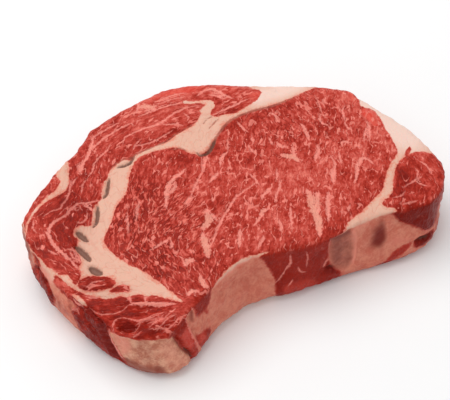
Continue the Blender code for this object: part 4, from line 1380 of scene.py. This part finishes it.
@dataclass(frozen=True)
class MeatFinish:
    """Raw beef: fibrous red lean, cream fat, pink marbling and grey silverskin. Its colours also hold painted shade
    in grooves, folds, pits and hollows, and painted highlights on crests and lit edges.
    """

    # The lean's colours run from dark in the fibre grooves to light on their crests: painted shade and painted
    # highlights.
    groove_shade: Tint = tint(124, 16, 2)
    dark: Tint = tint(156, 31, 14)
    lean: Tint = tint(185, 57, 43)
    light: Tint = tint(208, 89, 76)
    crest_highlight: Tint = tint(240, 132, 114)
    bright: Tint = tint(214, 52, 36)
    fleck: Tint = tint(242, 138, 123)
    vein: Tint = tint(242, 144, 130)
    dull_vein: Tint = tint(190, 98, 88)
    streak_fat: Tint = tint(236, 154, 134)
    # Fat drawn paler where the tone is high, partly painted light along the lit top edges; and fat drawn dark,
    # partly its own mottle and partly painted shade where the tone is low.
    pale_fat: Tint = tint(238, 204, 190)
    pale_and_lit_wall_fat: Tint = tint(232, 142, 122)
    dark_and_shaded_fat: Tint = tint(128, 42, 32)
    fat: Tint = tint(226, 176, 154)
    fat_pink: Tint = tint(226, 144, 122)
    fat_edge: Tint = tint(210, 96, 80)
    # The side's fat: pinker and browner under its membrane, and darker than the top's fat, which is painted shade.
    wall_fat: Tint = tint(202, 106, 86)
    wall_pink: Tint = tint(220, 136, 112)
    slab_dark: Tint = tint(186, 112, 88)
    slab_pale: Tint = tint(224, 164, 136)
    # Silverskin. On the cut face the same colours paint the shadow lines where a fat seam stands above the muscle.
    dark_skin_and_shadow: Tint = tint(128, 62, 52)
    pale_skin: Tint = tint(192, 112, 92)
    # Pits: the brown-grey of the parted tissue, darkened as painted shade in the hollow.
    pit: Tint = tint(112, 74, 62)
    roughness: float = 0.42
    specular: float = 0.13
    subsurface: float = 0.1
    bleed: float = 0.8 * MM
    fibre_depth: float = 0.7 * MM
    # The fibres wander by this much, over bumps of this size, in millimetres.
    drift: float = 2.2
    drift_size: float = 2.6

    def material(self) -> bpy.types.Material:
        """Wires the finish."""
        made = bpy.data.materials.new("raw beef")
        made.use_nodes = True
        board = Board(made.node_tree)
        where = board.put("TexCoord").outputs["Object"]
        place = board.put("VectorMath", {0: where, "Scale": 1 / MM}, operation="SCALE").outputs[0]
        fat, pit, skin = board.split("flesh")
        side, gap, width = board.split("streak")
        tone, rough, marbled = board.split("lean")
        way = board.put("Attribute", attribute_name="way").outputs["Vector"]
        wall = board.split("way")[2]

        drift = board.put("TexNoise", {"Vector": place, "Scale": 1 / self.drift_size,
                                       "Detail": 1.0}).outputs["Color"]
        drift = board.put("VectorMath", (drift, (0.5, 0.5, 0.5)), operation="SUBTRACT").outputs[0]
        wavy = board.put("VectorMath", {0: drift, 1: (self.drift,) * 3, 2: place},
                         operation="MULTIPLY_ADD").outputs[0]
        far = board.put("VectorMath", (wavy, (171.0, 58.0, 9.0)), operation="ADD").outputs[0]
        off = board.put("VectorMath", (wavy, (37.0, 95.0, 61.0)), operation="ADD").outputs[0]
        fine = FibreField.place(board, Place=wavy, Way=way, Width=0.9, Length=2.6, Detail=1.0)
        coarse = FibreField.place(board, Place=wavy, Way=way, Width=2.4, Length=7.0, Detail=1.0)
        spots = FibreField.place(board, Place=far, Way=way, Width=1.6, Length=4.4, Detail=1.0)
        threads = FibreField.place(board, Place=off, Way=way, Width=3.6, Length=10.0, Detail=0.6)
        grain = board.clouds(place, 0.8)
        dots = board.clouds(far, 1.1, 1.0)
        blotchy = board.clouds(place, 3.6)
        patchy = board.clouds(place, 9.0)
        uneven = board.clouds(place, 1.4)

        crisp = board.math("MULTIPLY_ADD", board.level(fine, -0.5, 0.6), 2.0, -1.0)
        relief = board.sum(
            board.times(crisp, board.math("MULTIPLY_ADD", rough, 0.45, 0.25)),
            board.times(coarse, board.math("MULTIPLY_ADD", rough, 0.05, 0.35)),
        )
        calm = board.math("MULTIPLY_ADD", wall, -0.8, 1.0)
        # Lean colour: dark in the fibres' grooves and light on their crests, which is painted shade and painted
        # highlights. It also follows the drawn tone, which holds painted shade and light as well as the flesh's own
        # tone, and it is darker on the side wall, as painted shade.
        shade = board.sum(
            board.times(relief, calm, 0.38), board.times(grain, calm, 0.08),
            board.times(blotchy, calm, 0.16), board.times(patchy, 0.07),
            board.times(tone, 0.24), board.times(wall, -0.08),
            board.times(blotchy, wall, rough, 0.35), 0.455,
        )
        lean = board.ramp(shade, (
            (0.0, self.groove_shade), (0.3, self.dark), (0.5, self.lean), (0.7, self.light),
            (1.0, self.crest_highlight),
        ))
        # Where the tone is high the lean turns bright red: partly its own colour, partly painted light, as along the
        # far rim.
        lean = board.mix(board.times(board.level(tone, 0.5, 1.6), 0.65), lean, self.bright)
        bare = board.math("MULTIPLY_ADD", wall, -0.9, 1.0)
        thick = board.sum(board.times(board.clouds(far, 4.5), 0.18), board.times(marbled, 0.06),
                          0.035)
        apart = board.math("ABSOLUTE", threads)
        web = board.times(board.level(board.math("SUBTRACT", thick, apart), -0.03, 0.07), bare)
        lean = board.mix(board.times(web, 0.65), lean, self.fleck)
        bar = board.math("MULTIPLY_ADD", marbled, -0.4, 0.66)
        strokes = board.level(spots, board.sum(bar, -0.1), board.sum(bar, 0.2))
        specks = board.level(dots, board.sum(bar, 0.15), board.sum(bar, 0.35))
        flecks = board.times(board.math("MAXIMUM", strokes, specks), bare)
        lean = board.mix(board.times(flecks, 0.82), lean, self.fleck)
        wobble = board.times(board.clouds(place, 1.1), 0.22)
        lined = StreakMask.place(board, Side=board.sum(side, wobble), Gap=gap,
                                 Width=board.math("MULTIPLY_ADD", width, 0.8, 0.12),
                                 Unevenness=board.times(uneven, 0.6),
                                 Softness=board.math("MULTIPLY_ADD", width, 0.25, 0.22))
        line_fat = board.mix(board.level(width, 0.5, 1.8), self.vein, self.streak_fat)
        # Lines of fat dull where the tone is low, and so also in painted shade.
        dull = board.times(board.level(board.times(tone, -1.0), 0.1, 1.3), 0.6)
        line_fat = board.mix(dull, line_fat, self.dull_vein)
        firm = board.level(board.sum(width, board.times(grain, 0.2)), 0.0, 0.7)
        filled = board.sum(board.times(firm, 0.4), board.times(grain, 0.1),
                           board.times(fine, 0.1), 0.5)
        lean = board.mix(board.times(lined, filled), lean, line_fat)

        depth = board.sum(fat, board.times(uneven, 0.3), board.times(coarse, 0.2),
                          board.times(fine, 0.1))
        ripe = board.sum(depth, board.times(patchy, 0.9), board.times(blotchy, 0.9), grain)
        plain_fat = board.mix(board.level(ripe, -0.3, 1.5), self.fat_pink, self.fat)
        mottle = board.sum(board.clouds(place, 5.0), board.times(grain, 0.5),
                           board.times(uneven, 0.6))
        side_fat = board.mix(board.level(mottle, -1.2, 1.2), self.wall_fat, self.wall_pink)
        slab_fat = board.mix(board.level(board.sum(blotchy, board.times(grain, 0.5)), -0.9, 0.9),
                             self.slab_dark, self.slab_pale)
        side_fat = board.mix(board.level(marbled, 0.0, 1.0), side_fat, slab_fat)
        side_fat = board.mix(board.times(board.level(blotchy, -0.1, 0.9), rough, 0.6), side_fat,
                             self.dark_and_shaded_fat)
        plain_fat = board.mix(wall, plain_fat, side_fat)
        plain_fat = board.mix(board.times(board.level(coarse, 0.2, 0.9), 0.16), plain_fat,
                              self.fat_edge)
        seams = board.level(board.math("SUBTRACT", 0.07, apart), 0.0, 0.07)
        plain_fat = board.mix(board.times(seams, bare, 0.3), plain_fat, self.fat_edge)
        # The fat darkens where the tone is low, more on the side, and pales where it is high: partly its own tone,
        # partly painted shade and painted light.
        dark_tone_and_shade = board.level(board.times(tone, -1.0), 0.0, 1.2)
        dark_tone_and_shade = board.times(dark_tone_and_shade, board.math("MULTIPLY_ADD", wall, 0.7, 0.3))
        plain_fat = board.mix(dark_tone_and_shade, plain_fat, self.dark_and_shaded_fat)
        paler_and_lit_fat = board.mix(wall, self.pale_fat, self.pale_and_lit_wall_fat)
        plain_fat = board.mix(board.level(tone, 0.0, 1.0), plain_fat, paler_and_lit_fat)
        rimmed = board.mix(board.level(depth, -0.1, 0.5), self.fat_edge, plain_fat)
        soft = board.math("MULTIPLY_ADD", wall, 0.6, 0.22)
        fatness = board.level(depth, board.times(soft, -1.0), soft)
        flesh = board.mix(fatness, lean, rimmed)
        # The silverskin film, which on the cut face also paints the shadow lines beside the seams; its colour
        # follows the drawn tone, painted shade included.
        worn = board.math("MULTIPLY_ADD", wall, 1.2, 0.3)
        skin_and_shadow_mask = board.level(board.sum(skin, board.times(uneven, 0.3)),
                             board.times(worn, -1.0), worn)
        skin_tone_and_shade = board.sum(tone, board.times(uneven, 0.35), board.times(blotchy, 0.3))
        film = board.mix(board.level(skin_tone_and_shade, -1.0, 1.0), self.dark_skin_and_shadow, self.pale_skin)
        flesh = board.mix(board.times(skin_and_shadow_mask, 0.8), flesh, film)
        # The pits: their own brown-grey tissue, and painted shade in the hollow.
        pit_and_shade = board.level(board.sum(pit, board.times(uneven, 0.25)), -0.35, 0.4)
        flesh = board.mix(board.times(pit_and_shade, 0.85), flesh, self.pit)

        leanness = board.math("SUBTRACT", 1.0, fatness)
        height = board.sum(
            board.times(relief, leanness, 0.45), board.times(grain, 0.02),
            board.times(uneven, 0.08), board.times(lined, -0.15), board.times(web, -0.1),
            board.times(flecks, 0.05),
        )
        bump = board.put("Bump", {"Height": height, "Distance": self.fibre_depth,
                                  "Strength": 1.0}).outputs[0]
        rough_here = board.sum(self.roughness, board.times(patchy, 0.05), board.times(fine, 0.03))
        shader = board.put("BsdfPrincipled", {
            "Base Color": flesh, "Roughness": rough_here, "Normal": bump,
            "Specular IOR Level": self.specular, "Subsurface Weight": self.subsurface,
            "Subsurface Radius": (1.0, 0.35, 0.25), "Subsurface Scale": self.bleed,
        })
        board.put("OutputMaterial", (shader.outputs[0],))
        return made


@dataclass(frozen=True)
class TableFinish:
    """A plain pale matt surface with a hardly visible mottle."""

    pale: Tint = (0.93, 0.93, 0.93, 1.0)
    paler: Tint = (0.96, 0.96, 0.96, 1.0)
    roughness: float = 0.75

    def material(self) -> bpy.types.Material:
        """Wires the finish."""
        made = bpy.data.materials.new("pale table")
        made.use_nodes = True
        board = Board(made.node_tree)
        where = board.put("TexCoord").outputs["Object"]
        mottle = board.put("TexNoise", {"Vector": where, "Scale": 14.0}).outputs[0]
        shader = board.put("BsdfPrincipled", {
            "Base Color": board.mix(mottle, self.pale, self.paler), "Roughness": self.roughness,
            "Specular IOR Level": 0.2,
        })
        board.put("OutputMaterial", (shader.outputs[0],))
        return made


# ----------------------------------------------------------------------------- the pieces


@dataclass
class Steak:
    """The whole steak: its fine mesh, its drawing, its relief and its finish."""

    form: FineForm
    face: CutFace
    relief: Relief
    finish: MeatFinish
    top_from: float = 0.3
    top_to: float = 0.66
    sole_from: float = 0.5
    sole_to: float = 0.85

    def build(self) -> bpy.types.Object:
        """Makes the steak, shapes its surface, and dresses it."""
        steak = self.form.build()
        mesh = steak.data
        places, normals = self.read(mesh)
        up = ease(normals[:, 2], self.top_from, self.top_to)
        down = ease(-normals[:, 2], self.sole_from, self.sole_to)
        wall = 1 - up - down
        spots = self.face.spots(places)
        grain = self.face.grain(spots)
        side = SideWall(self.form.outline())
        fields = self.face.fields(places, spots).blended(side.fields(places, self.face), wall)
        rise = self.relief.rise(places, grain, fields, wall)
        moved = places + normals * (rise * (1 - down))[:, None]
        spread = self.relief.spread(places, places[:, :2] + self.face.middle) * (1 - down)
        moved[:, :2] += normals[:, :2] * spread[:, None]
        moved[:, 2] = np.clip(moved[:, 2], 0.0, None)
        mesh.vertices.foreach_set("co", (moved * MM).ravel())
        mesh.update()
        self.write(mesh, "flesh", (fields.fat, fields.pit, fields.skin))
        self.write(mesh, "streak", tuple(fields.streak.T))
        self.write(mesh, "lean", (fields.tone, fields.rough, fields.marbled))
        self.write(mesh, "way", (*grain.T, wall))
        mesh.materials.clear()
        mesh.materials.append(self.finish.material())
        mesh.shade_smooth()
        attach(steak, BODY)
        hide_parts(NODE)
        return steak

    @staticmethod
    def read(mesh: bpy.types.Mesh) -> tuple[np.ndarray, np.ndarray]:
        """A mesh's vertices in millimetres, and their normals."""
        places = np.empty(3 * len(mesh.vertices))
        mesh.vertices.foreach_get("co", places)
        normals = np.empty_like(places)
        mesh.vertex_normals.foreach_get("vector", normals)
        return places.reshape(-1, 3) / MM, normals.reshape(-1, 3)

    @staticmethod
    def write(mesh: bpy.types.Mesh, name: str, columns: tuple[np.ndarray, ...]) -> None:
        """Stores three numbers for each vertex under a name that the finish reads."""
        layer = mesh.attributes.new(name, "FLOAT_VECTOR", "POINT")
        layer.data.foreach_set("vector", np.stack(columns, axis=1).astype(np.float32).ravel())


@dataclass(frozen=True)
class Softbox:
    """A square soft light: where it hangs, how wide it is and how strong, in watts."""

    name: str
    place: Point3
    width: float
    power: float

    def build(self) -> None:
        """Hangs the light, turned to the steak."""
        lamp = bpy.data.lights.new(self.name, "AREA")
        lamp.size = self.width
        lamp.energy = self.power
        holder = bpy.data.objects.new(self.name, lamp)
        holder.location = self.place
        holder.rotation_euler = Vector(self.place).to_track_quat("Z", "Y").to_euler()
        bpy.context.scene.collection.objects.link(holder)


@dataclass
class Studio:
    """The pale table, the lights and the camera."""

    aim: Point3 = (3.5 * MM, 10.2 * MM, 4.0 * MM)
    azimuth: float = -25.0
    elevation: float = 50.0
    distance: float = 560 * MM
    lens: float = 96.3
    table_width: float = 6.0
    sky: Tint = (1.0, 1.0, 1.0, 1.0)
    sky_strength: float = 0.6
    lights: tuple[Softbox, ...] = (
        Softbox("overhead softbox", (-0.25, 0.45, 1.15), 1.1, 10.0),
        Softbox("fill softbox", (-0.7, -0.7, 0.7), 0.8, 0.6),
    )

    def eye(self) -> Vector:
        """Where the camera stands."""
        around, up = math.radians(self.azimuth), math.radians(self.elevation)
        back = Vector((math.sin(around) * math.cos(up), -math.cos(around) * math.cos(up),
                       math.sin(up)))
        return Vector(self.aim) + back * self.distance

    def build(self) -> None:
        """Sets up the table, the lights, the surroundings and the camera."""
        scene = bpy.context.scene
        scene.view_settings.view_transform = "Standard"
        bpy.ops.mesh.primitive_plane_add(size=self.table_width)
        table = bpy.context.object
        table.name = "table"
        table.data.materials.append(TableFinish().material())
        for light in self.lights:
            light.build()
        world = bpy.data.worlds.new("surroundings")
        world.use_nodes = True
        sky = world.node_tree.nodes["Background"]
        sky.inputs["Color"].default_value = self.sky
        sky.inputs["Strength"].default_value = self.sky_strength
        scene.world = world
        camera = bpy.data.objects.new("camera", bpy.data.cameras.new("camera"))
        camera.data.lens = self.lens
        camera.location = self.eye()
        camera.rotation_euler = (self.eye() - Vector(self.aim)).to_track_quat("Z", "Y").to_euler()
        scene.collection.objects.link(camera)
        scene.camera = camera


def main() -> None:
    """Builds the steak and its studio."""
    logging.basicConfig(level=logging.INFO, format="%(name)s: %(message)s")
    studio = Studio()
    eye = tuple(value / MM for value in studio.eye())
    steak = Steak(FineForm(), CutFace(eye), Relief(), MeatFinish()).build()
    LOG.info("%s: %d vertices, %d faces", steak.name, len(steak.data.vertices),
             len(steak.data.polygons))
    studio.build()
    LOG.info("table, %d lights and camera", len(studio.lights))


if __name__ == "__main__":
    main()
